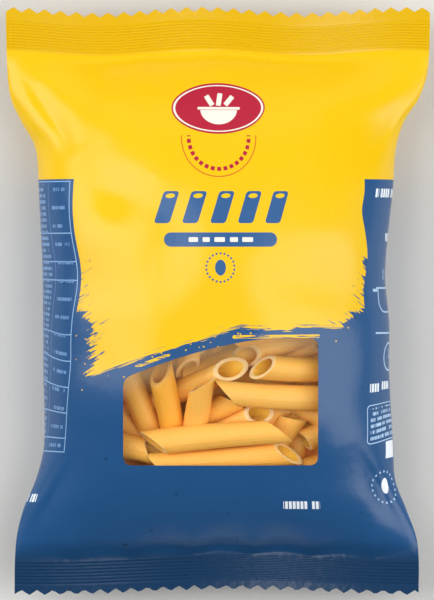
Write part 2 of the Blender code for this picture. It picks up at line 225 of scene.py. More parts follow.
# Where each of the penne behind the window lies, as in the CAD solid. Each row is one end, the other end, and
# which way the cut leans in degrees. An end is its place across and up the bag, and its depth below the film.
PENNE = (
    ((-22.3, -48.7, 5.3), (20.5, -44.8, 5.3), -20),
    ((-19.0, -56.0, 6.4), (24.1, -52.3, 5.6), 38),
    ((-19.7, -24.1, 5.8), (-13.2, -60.0, 15.0), -40),
    ((-33.7, -20.0, 9.0), (-20.0, -54.0, 15.0), 0),
    ((-5.4, -28.8, 6.0), (-10.0, -63.0, 15.0), 25),
    ((4.3, -23.3, 8.5), (-34.0, -40.0, 19.0), -80),
    ((15.3, -22.7, 6.0), (46.0, -23.8, 7.0), -142),
    ((2.9, -31.5, 5.6), (43.8, -33.6, 6.2), 20),
    ((9.6, -18.9, 12.5), (46.0, -6.3, 11.0), -90),
    ((-10.4, -23.2, 13.0), (-8.1, 15.0, 10.0), -60),
    ((4.3, -34.6, 13.0), (-25.0, -51.0, 20.0), 40),
    ((14.1, -38.4, 12.0), (-16.4, -51.1, 19.0), -75),
    ((26.0, -40.3, 12.5), (10.5, -59.0, 17.0), 30),
    ((29.3, -47.9, 11.0), (43.0, -42.4, 8.5), -40),
    ((26.0, -59.0, 10.0), (43.0, -55.0, 8.0), 90),
    ((-43.0, -48.7, 7.5), (-23.5, -51.7, 8.5), 10),
    ((-40.0, -33.0, 17.0), (-8.0, -15.0, 17.0), 90),
    ((-8.0, -25.0, 18.0), (29.0, -11.0, 17.0), 90),
    ((6.0, -12.0, 11.0), (42.0, -9.0, 10.0), 60),
    ((20.0, -42.0, 20.0), (46.0, -37.0, 17.0), 90),
)
GOLDEN_PENNE = 2
GOLDEN_TINT = 0.8
GOLDEN_DOUGH = "#FFB434"
TINT_SPREAD = 0.35
LOOSE_SEED = 11
LOOSE_PENNE = 40
LOOSE_FIELD = (-43.0, 44.0, -64.0, 0.0)
LOOSE_LEVELS = (20.0, 30.0)
LOOSE_TILT = 0.12
LOOSE_HALF_LENGTH = (17, 21)
LOOSE_CLEARANCE = 10.0

# The core: the rest of the pasta, dished behind the window
CORE_INSET = 4.2
CORE_SINK = 1.15
CORE_COLUMNS = 48
CORE_ROWS = 56
CORE_END = 20
DISH = (-47.0, 47.0, -74.0, 8.0)
DISH_RIM = 6
DISH_FLOOR = 27.0
DISH_LUMPS = (7, 2.0)

# The print's layout on the flat film
PANEL_TOP = 41.9
PANEL_LEFT = -51.7
PANEL_RIGHT = 54.5
TABLE_RIGHT = -53.2
TABLE_LEFT = -104.0
TABLE_LINES = (41.1, 23.3, 13.5, 7.1, -11.6, -20.7, -29.7, -38.6, -47.3, -52.0)
TABLE_COLUMN = -63.5
LINE_HALF = 0.17
ROW_PITCH = 2.1
ROW_INK = 0.55
LETTERS = (0.42, 0.44)
WORDS = (2.0, 0.4)
ROW_SHIFT = 7.3
BOLD_PITCH = 1.45
BOLD_GAP = 0.28
BRUSH_LEFT = (-56.5, -47.5)
BRUSH_RIGHT = (57.5, 47.5)
BRUSH_TURN = (-1.0, -8.0)
BRUSH_TOP = 16.5
BRUSH_LEVEL = -9.4
BRUSH_DROP = 17.5
BRUSH_SWEEP_START = 8.0
BRUSH_SWEEP_POWER = 1.1
BRUSH_BITE = -1.5
SIDE_MARKS = (-32.0, 9.0, 1.5, 5.5)
LOWER_MARKS = (0.0, 13.0, 0.8, 1.9)
FINGERS = (1.6, 3.0)
BRISTLES = (0.5, 9.0)
BRISTLE_POWER = 2.5
BRISTLE_BITE = 1.5
DROP_PLACE = (-1.0, 4.0)
DROP_SCALE = 0.42
DROP_SIZE = 0.12
STRAY_STROKES = (
    ((20.5, WINDOW_TOP + 0.55), (15.5, 0.6), 0.5, 0.4),
    ((-22.5, -20.4), (6.5, 0.55), 20.0, 0.5),
)
BADGE_CENTRE = (0.4, 66.2)
BADGE_HALF = (16.3, 8.9)
BADGE_ARC_CENTRE = (0.4, 56.0)
BADGE_ARC_RADIUS = 13.4
TITLE_CENTRE = (1.6, 32.1)
TITLE_PITCH = 9.6
TITLE_HALF = 2.5 * TITLE_PITCH
TITLE_TUBE_HALF = (2.7, 5.5)
TITLE_SLANT = 0.3
PILL_CENTRE = (1.2, 21.0)
PILL_HALF = (19.6, 2.45)
PILL_DASHES = ((-9.6, 1.6), (-5.2, 1.2), (-0.6, 1.8), (4.4, 1.4), (9.2, 1.9))
RING_CENTRE = (0.9, 11.4)
RING_RADIUS = 4.9
POT_CENTRE = (69.0, 2.3)
CLOCK_CENTRE = (70.0, -19.3)
NOTE_CENTRE = (67.0, -42.8)
NOTE_HALF = (10.9, 6.8)
WEIGHT_MARKS = (
    ((29.0, -70.4), (4.6, 1.4)),
    ((36.6, -70.4), (1.6, 1.4)),
    ((-69.5, -68.0), (3.6, 1.4)),
    ((-63.0, -68.0), (1.5, 1.4)),
)
FLECK_SCALE = 0.13
FLECK_SIZE = 0.06

YELLOW_INK = ("#EDBE00", "#F0C200")
BLUE_INK = ("#1F4E80", "#235486")
LETTER_BLUE_INK = "#2F5C90"
RED_INK = "#B3203A"
ORANGE_INK = "#D2691F"
CREAM_INK = "#EDE8DC"
PALE_BLUE_INK = "#8DB4DE"
PANEL_INK = "#A9C8E8"
SMALL_PRINT_INK = "#6890C0"
COLUMN_INK = "#5B88BC"
WHITE_INK = "#E9F1F8"
FLECK_INK = "#173A63"

# Painted shade and the gloss of the end seals: from where, to where, and the shade colour there
SEAL_PAINTED_SHADES = ((BODY_TOP - 0.5, BODY_TOP + 1.0, "#ECE8E0"), (BODY_BOTTOM + 7.0, BODY_BOTTOM - 0.5, "#A0AFAE"))
IRONED_FROM = 82.0
IRONED_TO = 88.0
MATT_ROUGHNESS = 0.27
IRONED_ROUGHNESS = 0.19

# The view: straight down on the print, from so far that its edges and its crown keep their sizes in the photo
VIEW_HEIGHT = 2.5
VIEW_LEVEL = 0.026
VIEW_LENGTH = 0.207
VIEW_CENTRE = (-0.000345, 0.000345)
SENSOR = 36.0

# Soft lights: name, place, size across and up, watts, and whether the film's shine shows it
LIGHTS = (
    ("left_softbox", (-0.95, 0.25, 1.15), (0.9, 1.6), 12.5, True),
    ("right_softbox", (0.95, -0.25, 1.15), (0.9, 1.9), 14.0, True),
    ("overhead_silk", (0.0, 0.6, 1.4), (2.4, 1.6), 7.0, False),
    ("top_fill", (0.0, 1.4, 0.7), (2.0, 0.6), 7.5, False),
    ("left_fill", (-1.1, 0.0, 0.3), (0.5, 1.6), 5.0, False),
    ("right_fill", (1.1, 0.0, 0.3), (0.5, 1.6), 4.5, False),
)
LIGHTS_AIM = (0, 0, 0.03)
SKY_STRENGTH = 0.07
FLOOR_HALF = 6.0

MATH = "ShaderNodeMath"
VECTOR_MATH = "ShaderNodeVectorMath"
NOISE = "ShaderNodeTexNoise"
RANGE = "ShaderNodeMapRange"
PRINCIPLED = "ShaderNodeBsdfPrincipled"
OUTPUT = "ShaderNodeOutputMaterial"
MIX_FACTOR, MIX_FIRST, MIX_SECOND, MIX_RESULT = 0, 6, 7, 2


def smooth_step(value):
    value = min(1.0, max(0.0, value))
    return value * value * (3 - 2 * value)


def edges_at(y):
    """Left and right edge of the bag at y, on a smooth curve through OUTLINE."""
    places = [row[0] for row in OUTLINE]
    low = max(i for i in range(len(places) - 1) if places[i] <= y or i == 0)
    span = places[low + 1] - places[low]
    share = (y - places[low]) / span

    def reach(column):
        def slope(i):
            before, after = max(i - 1, 0), min(i + 1, len(OUTLINE) - 1)
            return (OUTLINE[after][column] - OUTLINE[before][column]) / (places[after] - places[before])

        start, end = OUTLINE[low][column], OUTLINE[low + 1][column]
        square, cube = share**2, share**3
        return (
            (2 * cube - 3 * square + 1) * start
            + (cube - 2 * square + share) * span * slope(low)
            + (3 * square - 2 * cube) * end
            + (cube - square) * span * slope(low + 1)
        )

    return -reach(1), reach(2)


def swell(y):
    """How full the bag is at y: 0 from the seals outwards and 1 in the middle."""
    middle = (BODY_TOP + BODY_BOTTOM) / 2
    share = abs(y - middle) / ((BODY_TOP - BODY_BOTTOM) / 2)
    full = max(0.0, 1 - share**3)
    return full * (1 - math.exp(-full / FOLD_EASE))


def in_seal(y):
    """1 in the end seals, fading to 0 over SWAY_REACH into the body."""
    beyond = max(y - BODY_TOP, BODY_BOTTOM - y)
    return smooth_step(1 + beyond / SWAY_REACH)


def scallop(x, y):
    """How far the fold at the end seal nearest to y wanders inwards at x."""
    if y > 0:
        return TOP_SCALLOP * noise.noise((x / TOP_SCALLOP_LENGTH, 8.0, 0.0))
    turn = math.pi * (x - BOTTOM_SCALLOP_PLACE) / BOTTOM_SCALLOP_LENGTH
    return -BOTTOM_SCALLOP * abs(math.sin(turn)) * in_seal(y)


def dome(share, fullness):
    """Height across the bag, from 1 in the middle to 0 at its sides, which are sharp by the seals."""
    sharpness = SEAL_SHARPNESS + (BODY_SHARPNESS - SEAL_SHARPNESS) * fullness
    return (1 - min(1.0, abs(share)) ** DOME_SQUARENESS) ** sharpness


def crease(x, y, rise):
    """How far the diagonal creases sink into the bag. They fade at their ends and where the bag is thin."""
    place = Vector((x, y))
    sunk = 0.0
    for start, end, depth in CREASES:
        along = Vector(end) - Vector(start)
        share = (place - Vector(start)).dot(along) / along.length_squared
        if not 0 < share < 1:
            continue
        off = place - Vector(start) - along * share
        width = (CREASE_INSIDE if off.x * x < 0 else CREASE_OUTSIDE) * (CREASE_START_WIDTH + share)
        sunk += depth * math.sin(math.pi * share) * math.exp(-((off.length / width) ** CREASE_ROUNDNESS))
    return sunk * min(1.0, rise / CREASE_FULL_RISE)


def wave(x, y, seed, kind):
    across, along, taken_off, tall = kind
    return tall * (noise.noise((x / across, y / along, seed)) - taken_off)


def relief(x, y, face, fullness):
    """Dents of the film between the pasta's high spots, and soft pleats that run down from the seals."""
    near_seal = fullness * (1 - fullness) * 4
    waves = fullness * (wave(x, y, 3.0 * face, BROAD_WAVES) + wave(x, y, 20.0 + face, FINE_WAVES))
    waves += near_seal * wave(x, y, 40.0 + face, PLEATS)
    if face < 0:
        return waves
    for centre, radius, depth in DENTS:
        waves -= depth * math.exp(-((Vector((x, y)) - Vector(centre)).length_squared / radius**2))
    return waves


def side_inset(inset, fullness):
    """How far from the bag's side a surface that is inset into it ends: further where the bag is thin."""
    return inset * (1 + 2 * (1 - fullness))


def height(x, y, face, inset=0.0):
    """Height of the front (face 1) or back (face -1) at x and y, or of a like surface inset into the bag."""
    left, right = edges_at(y)
    fullness = swell(y) if inset else swell(y + scallop(x, y) * in_seal(y))
    half = (right - left) / 2 - side_inset(inset, fullness)
    share = (x - (left + right) / 2) / half
    reach = (CROWN if face > 0 else BELLY) * fullness - CORE_SINK * inset
    rise = max(0.0, reach) * dome(share, fullness)
    rise -= crease(x, y, rise)
    if inset == 0.0:
        rise += SEAL_HALF_THICKNESS + (CAD_WALL / 2 - SEAL_HALF_THICKNESS) * fullness
        rise += relief(x, y, face, fullness) * min(1.0, rise / RELIEF_FULL_RISE)
    return max(inset, FLOOR_CLEARANCE, SEAL_HEIGHT + face * rise)


def sway(x, y):
    """How far the end seal nearest to y bows inwards at x."""
    if y > 0:
        return -SEAL_SWAY * (1 - math.cos(math.tau * (x - TOP_SWAY_PLACE) / TOP_SWAY_LENGTH))
    return SEAL_SWAY * (1 + math.cos(math.tau * (x - BOTTOM_SWAY_PLACE) / BOTTOM_SWAY_LENGTH))


def buckle(x, y):
    """How far the end seal nearest to y lifts out of its plane at x."""
    length, turn = TOP_BUCKLE if y > 0 else BOTTOM_BUCKLE
    return SEAL_BUCKLE * math.sin(math.tau * x / length + turn)


def on_bag(x, y, z, edge=False):
    """The point x, y, z moved as the end seals sway and buckle. An end's edge already has its sway."""
    weight = in_seal(y)
    return Vector((x, y + (0 if edge else weight * sway(x, y)), z + weight * buckle(x, y)))


def tooth_edge(x, end):
    """Where the zigzag cut runs at x: at the top for end 1 and at the bottom for end -1."""
    phase = abs((x / TOOTH_PITCH + 0.5) % 1 - 0.5) * 2
    return end * (HALF_LENGTH - TOOTH_DEPTH * phase) + sway(x, end)


def film_rows():
    """Rows of the film: (y, share of the way from there to the zigzag cut)."""
    low = CRIMP_BOTTOM - BOTTOM_RIDGES * BOTTOM_RIDGE_PITCH
    high = CRIMP_TOP + TOP_RIDGES * TOP_RIDGE_PITCH
    rows = [(low, 1 - i / STRIP_ROWS) for i in range(STRIP_ROWS)]
    for start, end, steps in (
        (low, CRIMP_BOTTOM, BOTTOM_RIDGES * ROWS_A_RIDGE),
        (CRIMP_BOTTOM, CRIMP_TOP, BODY_ROWS),
        (CRIMP_TOP, high, TOP_RIDGES * ROWS_A_RIDGE),
    ):
        rows += [(start + (end - start) * i / steps, 0.0) for i in range(steps)]
    rows += [(high, i / STRIP_ROWS) for i in range(STRIP_ROWS + 1)]
    return rows


def film_point(step, row, face):
    """Point of the film at a step across, from -1 to 1. Steps crowd towards the sides of the filled body."""
    y, to_edge = row
    left, right = edges_at(y)
    closer = math.sin(step * math.pi / 2) - step
    across = step + closer * smooth_step(swell(y) * SIDE_CLOSENESS)
    x = (left + right) / 2 + (right - left) / 2 * across
    z = height(x, y, face)
    if to_edge:
        start = y + sway(x, y)
        return on_bag(x, start + (tooth_edge(x, math.copysign(1, y)) - start) * to_edge, z, edge=True)
    return on_bag(x, y, z)


def bump(v, place, length, tall):
    return tall * math.exp(-(((v - place) / length) ** 2))


def drift(u, v):
    """How far the filled bag drags its print sideways and along, mostly at the front's sides."""
    aside = abs(u)
    fading = smooth_step((DRAG_END[0] - aside) / DRAG_END[1])
    places = (SIDEWAYS_FROM, SAG_FROM)
    pull, sag = (smooth_step((aside - start) / length) * fading for start, length in places)
    sideways = sum(bump(v, *row) for row in (LEFT_BUMPS if u < 0 else RIGHT_BUMPS))
    if u < 0:
        start, length, far = LEFT_SLOPE
        sideways += far * smooth_step((start - v) / length)
    return pull * sideways, sag * bump(v, *(LEFT_SAG if u < 0 else RIGHT_SAG))


def film_coordinates(line, face):
    """u for each point of a row across one face, measured along the film and stretched to its known girth."""
    lengths = [0.0]
    for before, after in zip(line, line[1:]):
        lengths.append(lengths[-1] + (after - before).length)
    centre = min(range(len(line)), key=lambda i: abs(line[i].x))
    towards = line[centre].x / max(1e-6, (line[centre] - line[centre - 1]).length)
    middle = lengths[centre] - towards * (lengths[centre] - lengths[centre - 1])
    found = []
    for length in lengths:
        side = lengths[-1] - middle if length > middle else middle
        flat = HALF_GIRTH * (length - middle) / side
        found.append(flat if face > 0 else math.copysign(2 * HALF_GIRTH, flat) - flat)
    return found


def new_object(name, data):
    """Puts a mesh, a camera or a light in the scene."""
    made = bpy.data.objects.new(name, data)
    bpy.context.scene.collection.objects.link(made)
    return made


def new_mesh(builder, name, *materials):
    mesh = bpy.data.meshes.new(name)
    builder.to_mesh(mesh)
    builder.free()
    for material in materials:
        mesh.materials.append(material)
    return mesh


def shade(mesh, sharp_angle):
    mesh.shade_smooth()
    mesh.set_sharp_from_angle(angle=math.radians(sharp_angle))


def finish_mesh(mesh, name):
    """Scales a mesh from millimetres, shades it smooth and puts its object in the scene."""
    mesh.transform(Matrix.Scale(TO_METRES, 4))
    shade(mesh, sharp_angle=40)
    return new_object(name, mesh)


def evaluated_copy(made, name):
    """A plain mesh of an object with its modifiers applied. The object goes."""
    mesh = bpy.data.meshes.new_from_object(made.evaluated_get(bpy.context.evaluated_depsgraph_get()))
    mesh.name = name
    bpy.data.objects.remove(made)
    return mesh


def closed_body(name, upper, lower, mapped=True):
    """A closed mesh between two sheets of rows of corners, each a point with its u and v on the film."""
    builder = bmesh.new()
    flat = builder.loops.layers.uv.new("film") if mapped else None
    upper = [[(builder.verts.new(point), u, v) for point, u, v in row] for row in upper]
    lower = [[(builder.verts.new(point), u, v) for point, u, v in row] for row in lower]
    last, side = len(upper) - 1, len(upper[0]) - 1
    panels = []
    for j in range(last):
        for i in range(side):
            panels.append((upper[j][i], upper[j][i + 1], upper[j + 1][i + 1], upper[j + 1][i]))
            panels.append((lower[j][i + 1], lower[j][i], lower[j + 1][i], lower[j + 1][i + 1]))
        panels.append((lower[j][0], upper[j][0], upper[j + 1][0], lower[j + 1][0]))
        panels.append((upper[j][side], lower[j][side], lower[j + 1][side], upper[j + 1][side]))
    for i in range(side):
        panels.append((lower[0][i], lower[0][i + 1], upper[0][i + 1], upper[0][i]))
        panels.append((upper[last][i], upper[last][i + 1], lower[last][i + 1], lower[last][i]))
    for corners in panels:
        made = builder.faces.new([corner[0] for corner in corners])
        if not mapped:
            continue
        furthest = max(corner[1] for corner in corners)
        for loop, (_, u, v) in zip(made.loops, corners):
            if furthest - u > 2 * HALF_GIRTH:
                u += 4 * HALF_GIRTH
            loop[flat].uv = (u / FILM_SPAN + 0.5, v / FILM_SPAN + 0.5)
    return new_mesh(builder, name)


def window_top(x):
    """The window's upper edge at x."""
    before = max(0.0, WINDOW_SWEEP_START - x)
    width = WINDOW_SWEEP_START - WINDOW_LEFT
    return WINDOW_TOP - WINDOW_SWEEP_DROP * (before / width) ** WINDOW_SWEEP_POWER


def window_outline():
    """Corners of the window's outline, with its four corners rounded."""

    def corner(before, tip, after):
        before, tip, after = Vector(before), Vector(tip), Vector(after)
        for i in range(CORNER_STEPS + 1):
            share = i / CORNER_STEPS
            yield before.lerp(tip, share).lerp(tip.lerp(after, share), share)

    left, right, bottom, radius = WINDOW_LEFT, WINDOW_RIGHT, WINDOW_BOTTOM, WINDOW_CORNER
    high_left, high_right = window_top(left), window_top(right)
    start, width = right - radius, right - left - 2 * radius
    sweep = [start - width * i / SWEEP_STEPS for i in range(1, SWEEP_STEPS)]
    return [
        *corner((left, bottom + radius), (left, bottom), (left + radius, bottom)),
        *corner((right - radius, bottom), (right, bottom), (right, bottom + radius)),
        *corner((right, high_right - radius), (right, high_right), (right - radius, high_right)),
        *[Vector((x, window_top(x))) for x in sweep],
        *corner((left + radius, window_top(left + radius)), (left, high_left), (left, high_left - radius)),
    ]


def linear(code):
    """An sRGB hex colour as linear red, green, blue and alpha."""
    shares = [int(code[i : i + 2], 16) / 255 for i in (1, 3, 5)]
    return (*[s / 12.92 if s <= 0.04045 else ((s + 0.055) / 1.055) ** 2.4 for s in shares], 1.0)


def add(tree, kind, sources=(), **settings):
    """Adds a node. sources gives its inputs, by place or by name, as values, nodes or sockets."""
    made = tree.nodes.new(kind)
    for name, value in settings.items():
        setattr(made, name, value)
    for place, source in sources.items() if isinstance(sources, dict) else enumerate(sources):
        if isinstance(source, bpy.types.Node):
            source = source.outputs[0]
        if isinstance(source, bpy.types.NodeSocket):
            tree.links.new(source, made.inputs[place])
        elif source is not None:
            made.inputs[place].default_value = source
    return made


def new_material(name):
    material = bpy.data.materials.new(name)
    material.use_nodes = True
    material.node_tree.nodes.clear()
    return material, material.node_tree


def over(tree, colour, ink, mask, blend="MIX"):
    """colour with an ink laid over it where mask is 1. Both are sRGB hex codes or sockets."""
    colour, ink = (linear(part) if isinstance(part, str) else part for part in (colour, ink))
    sources = {MIX_FACTOR: mask, MIX_FIRST: colour, MIX_SECOND: ink}
    return add(tree, "ShaderNodeMix", sources, data_type="RGBA", blend_type=blend).outputs[MIX_RESULT]


def plate(tree, film, centre, half, corner=0.05, turn=0.0):
    """1 inside a rounded box on the flat film and 0 outside it."""
    local = add(tree, VECTOR_MATH, (film, (*centre, 0.0)), operation="SUBTRACT")
    if turn:
        local = add(tree, "ShaderNodeVectorRotate", {"Vector": local, "Angle": -math.radians(turn)})
    away = add(tree, VECTOR_MATH, (local,), operation="ABSOLUTE")
    inner = (half[0] - corner, half[1] - corner, 10.0)
    beyond = add(tree, VECTOR_MATH, (away, inner), operation="SUBTRACT")
    outside = add(tree, VECTOR_MATH, (beyond, (0.0, 0.0, 0.0)), operation="MAXIMUM")
    distance = add(tree, VECTOR_MATH, (outside,), operation="LENGTH").outputs["Value"]
    return add(tree, MATH, (distance, corner), operation="LESS_THAN")


def ellipse(tree, film, centre, half, line=None):
    """1 inside an ellipse on the flat film, or on its outline where line is that outline's half width."""
    local = add(tree, VECTOR_MATH, (film, (*centre, 0.0)), operation="SUBTRACT")
    scaled = add(tree, VECTOR_MATH, (local, (*half, 1.0)), operation="DIVIDE")
    distance = add(tree, VECTOR_MATH, (scaled,), operation="LENGTH").outputs["Value"]
    if line:
        return add(tree, MATH, (distance, 1.0, line / min(half)), operation="COMPARE")
    return add(tree, MATH, (distance, 1.0), operation="LESS_THAN")


def dotted_ring(tree, film, centre, radius, dots, half):
    """1 on dots evenly spaced round a circle on the flat film."""
    local = add(tree, VECTOR_MATH, (film, (*centre, 0.0)), operation="SUBTRACT")
    distance = add(tree, VECTOR_MATH, (local,), operation="LENGTH").outputs["Value"]
    split = add(tree, "ShaderNodeSeparateXYZ", (local,))
    angle = add(tree, MATH, (split.outputs["Y"], split.outputs["X"]), operation="ARCTAN2")
    turns = add(tree, MATH, (angle, dots / math.tau), operation="MULTIPLY")
    share = add(tree, MATH, (turns,), operation="FRACT")
    on_dot = add(tree, MATH, (share, 0.5, half * dots / (math.tau * radius)), operation="COMPARE")
    on_ring = add(tree, MATH, (distance, radius, half), operation="COMPARE")
    return all_of(tree, [on_dot, on_ring])


def marks(tree, film, *rows):
    """Masks of simple marks. Each row is the function of a mark and what that takes after the film."""
    return [mark(tree, film, *rest) for mark, *rest in rows]


def all_of(tree, masks, operation="MINIMUM"):
    """The least of several masks or distances, so 1 where every mask is 1."""
    found = masks[0]
    for mask in masks[1:]:
        found = add(tree, MATH, (found, mask), operation=operation)
    return found


def any_of(tree, masks):
    """The greatest of several masks, so 1 where at least one mask is 1."""
    return all_of(tree, masks, "MAXIMUM")


def all_but(tree, mask, hole):
    """1 where mask is 1 and hole is 0."""
    return add(tree, MATH, (mask, hole), operation="GREATER_THAN")


def bristle_marks(tree, across, up, angle, length, width, seed):
    """Noise from 0 to 1 in long thin marks, as a dry brush's bristles leave them."""
    place = add(tree, "ShaderNodeCombineXYZ", (across, up, seed))
    sources = {"Vector": place, "Rotation": (0.0, 0.0, math.radians(angle)), "Scale": (length, width, 1.0)}
    stretched = add(tree, "ShaderNodeMapping", sources, vector_type="TEXTURE")
    found = add(tree, NOISE, {"Vector": stretched, "Scale": 1.0, "Detail": 2.0, "Roughness": 0.6})
    return add(tree, RANGE, {"Value": found, "From Min": 0.3, "From Max": 0.7})


def brushed_field(tree, film, across, up):
    """1 where the yellow is: all round above the panels, and on the front down to a dry-brushed edge."""
    above = add(tree, MATH, (up, PANEL_TOP), operation="GREATER_THAN")

    # The field is narrower below than above, by a step on its left and a slope on its right.
    edges = []
    turn_high, turn_low = BRUSH_TURN
    for high, low in (BRUSH_LEFT, BRUSH_RIGHT):
        sources = {"Value": up, "From Min": turn_low, "From Max": turn_high, "To Min": low, "To Max": high}
        edges.append(add(tree, RANGE, sources, interpolation_type="SMOOTHSTEP"))
    from_left = add(tree, MATH, (across, edges[0]), operation="SUBTRACT")
    from_right = add(tree, MATH, (edges[1], across), operation="SUBTRACT")
    from_side = all_of(tree, [from_left, from_right])

    # Its lower edge sweeps down to the left, as the window's upper edge does.
    before = add(tree, MATH, (BRUSH_SWEEP_START, across), operation="SUBTRACT")
    before = add(tree, MATH, (before, 0.0), operation="MAXIMUM")
    before = add(tree, MATH, (before, BRUSH_SWEEP_START - BRUSH_LEFT[1]), operation="DIVIDE")
    drop = add(tree, MATH, (before, BRUSH_SWEEP_POWER), operation="POWER")
    level = add(tree, MATH, (drop, BRUSH_DROP, up), operation="MULTIPLY_ADD")
    from_below = add(tree, MATH, (level, BRUSH_LEVEL), operation="SUBTRACT")

    # Broad fingers of paint, and bristle marks that bite deep where they are darkest. At the sides they run
    # down and outwards, and below they follow the edge. Both kinds differ in width and seed.
    aside = add(tree, MATH, (across,), operation="ABSOLUTE")
    reach = []
    for distance, first, second, (angle, length, width, depth) in (
        (from_side, aside, up, SIDE_MARKS),
        (from_below, across, from_below, LOWER_MARKS),
    ):
        fingers, bristles = (
            bristle_marks(tree, first, second, angle, length, width * share, seed)
            for share, seed in (FINGERS, BRISTLES)
        )
        deep = add(tree, MATH, (bristles, BRISTLE_POWER), operation="POWER")
        both = add(tree, MATH, (deep, BRISTLE_BITE, fingers), operation="MULTIPLY_ADD")
        reach.append(add(tree, MATH, (both, -depth, distance), operation="MULTIPLY_ADD"))
    kept = all_of(tree, reach)
    painted = add(tree, MATH, (kept, BRUSH_BITE), operation="GREATER_THAN")

    # Drops of paint that flew past the edge
    outside = all_of(tree, [from_side, from_below])
    near = add(tree, MATH, (outside, *DROP_PLACE), operation="COMPARE")
    cells = add(tree, "ShaderNodeTexVoronoi", {"Vector": film, "Scale": DROP_SCALE})
    drops = add(tree, MATH, (cells, DROP_SIZE), operation="LESS_THAN")
    painted = any_of(tree, [painted, all_of(tree, [near, drops])])

    # Beside the two panels the field has straight edges.
    middle, half = (PANEL_LEFT + PANEL_RIGHT) / 2, (PANEL_RIGHT - PANEL_LEFT) / 2
    between = plate(tree, film, (middle, -10.0), (half, 60.0))
    upper_middle, upper_half = (PANEL_TOP + BRUSH_TOP) / 2, (PANEL_TOP - BRUSH_TOP) / 2 + 1.0
    upper = plate(tree, film, (middle, upper_middle), (half, upper_half))
    return any_of(tree, [above, all_of(tree, [painted, between]), upper])


def small_print(tree, across, up, seed):
    """1 on rows of little bars in groups, in place of small print. Rows are ROW_PITCH apart."""
    rows = add(tree, MATH, (up, ROW_PITCH), operation="DIVIDE")
    row = add(tree, MATH, (rows,), operation="FLOOR")
    share = add(tree, MATH, (rows,), operation="FRACT")
    inked = [add(tree, MATH, (share, ROW_INK), operation="LESS_THAN")]
    place = add(tree, "ShaderNodeCombineXYZ", (across, row, seed))
    for width, least in (LETTERS, WORDS):
        spread = add(tree, VECTOR_MATH, (place, (1 / width, ROW_SHIFT, 1.0)), operation="MULTIPLY")
        bars = add(tree, NOISE, {"Vector": spread, "Scale": 1.0, "Detail": 1.0})
        inked.append(add(tree, MATH, (bars, least), operation="GREATER_THAN"))
    return all_of(tree, inked)


def bold_bars(tree, across):
    """1 on upright bars, in place of bold letters."""
    letters = add(tree, MATH, (across, BOLD_PITCH), operation="DIVIDE")
    share = add(tree, MATH, (letters,), operation="FRACT")
    return add(tree, MATH, (share, BOLD_GAP), operation="GREATER_THAN")


def print_table(tree, film, across, up, colour):
    """The table on the left panel, which goes on round the side: a frame, lines, a column and its rows."""
    lines = [add(tree, MATH, (up, line, LINE_HALF), operation="COMPARE") for line in TABLE_LINES]
    middle, tall = (TABLE_LINES[0] + TABLE_LINES[-1]) / 2, (TABLE_LINES[0] - TABLE_LINES[-1]) / 2
    centre, wide = ((TABLE_LEFT + TABLE_RIGHT) / 2, middle), (TABLE_RIGHT - TABLE_LEFT) / 2
    label_centre, label_wide = ((TABLE_COLUMN + TABLE_LEFT) / 2, middle), (TABLE_COLUMN - TABLE_LEFT) / 2
    figure_centre, figure_wide = ((TABLE_COLUMN + TABLE_RIGHT) / 2, middle), (TABLE_RIGHT - TABLE_COLUMN) / 2
    table, inner, column, labels, figures = marks(
        tree,
        film,
        (plate, centre, (wide + LINE_HALF, tall + LINE_HALF)),
        (plate, centre, (wide - LINE_HALF, tall + 1.0)),
        (plate, (TABLE_COLUMN, middle), (LINE_HALF * 0.7, tall)),
        (plate, label_centre, (label_wide - 2.0, tall - 1.0)),
        (plate, figure_centre, (figure_wide - 1.6, tall - 1.0)),
    )
    ruled = any_of(tree, [all_but(tree, table, inner), all_of(tree, [table, any_of(tree, lines)])])
    colour = over(tree, colour, PALE_BLUE_INK, ruled)
    colour = over(tree, colour, COLUMN_INK, column)

    # Figures stand in about every third row, beside labels that fill most of them.
    thirds = add(tree, MATH, (up, 3 * ROW_PITCH), operation="DIVIDE")
    thirds = add(tree, MATH, (thirds,), operation="FRACT")
    third = add(tree, MATH, (thirds, 1 / 3), operation="LESS_THAN")
    written = any_of(tree, [labels, all_of(tree, [figures, third])])
    return over(tree, colour, SMALL_PRINT_INK, all_of(tree, [small_print(tree, across, up, 2.0), written]))


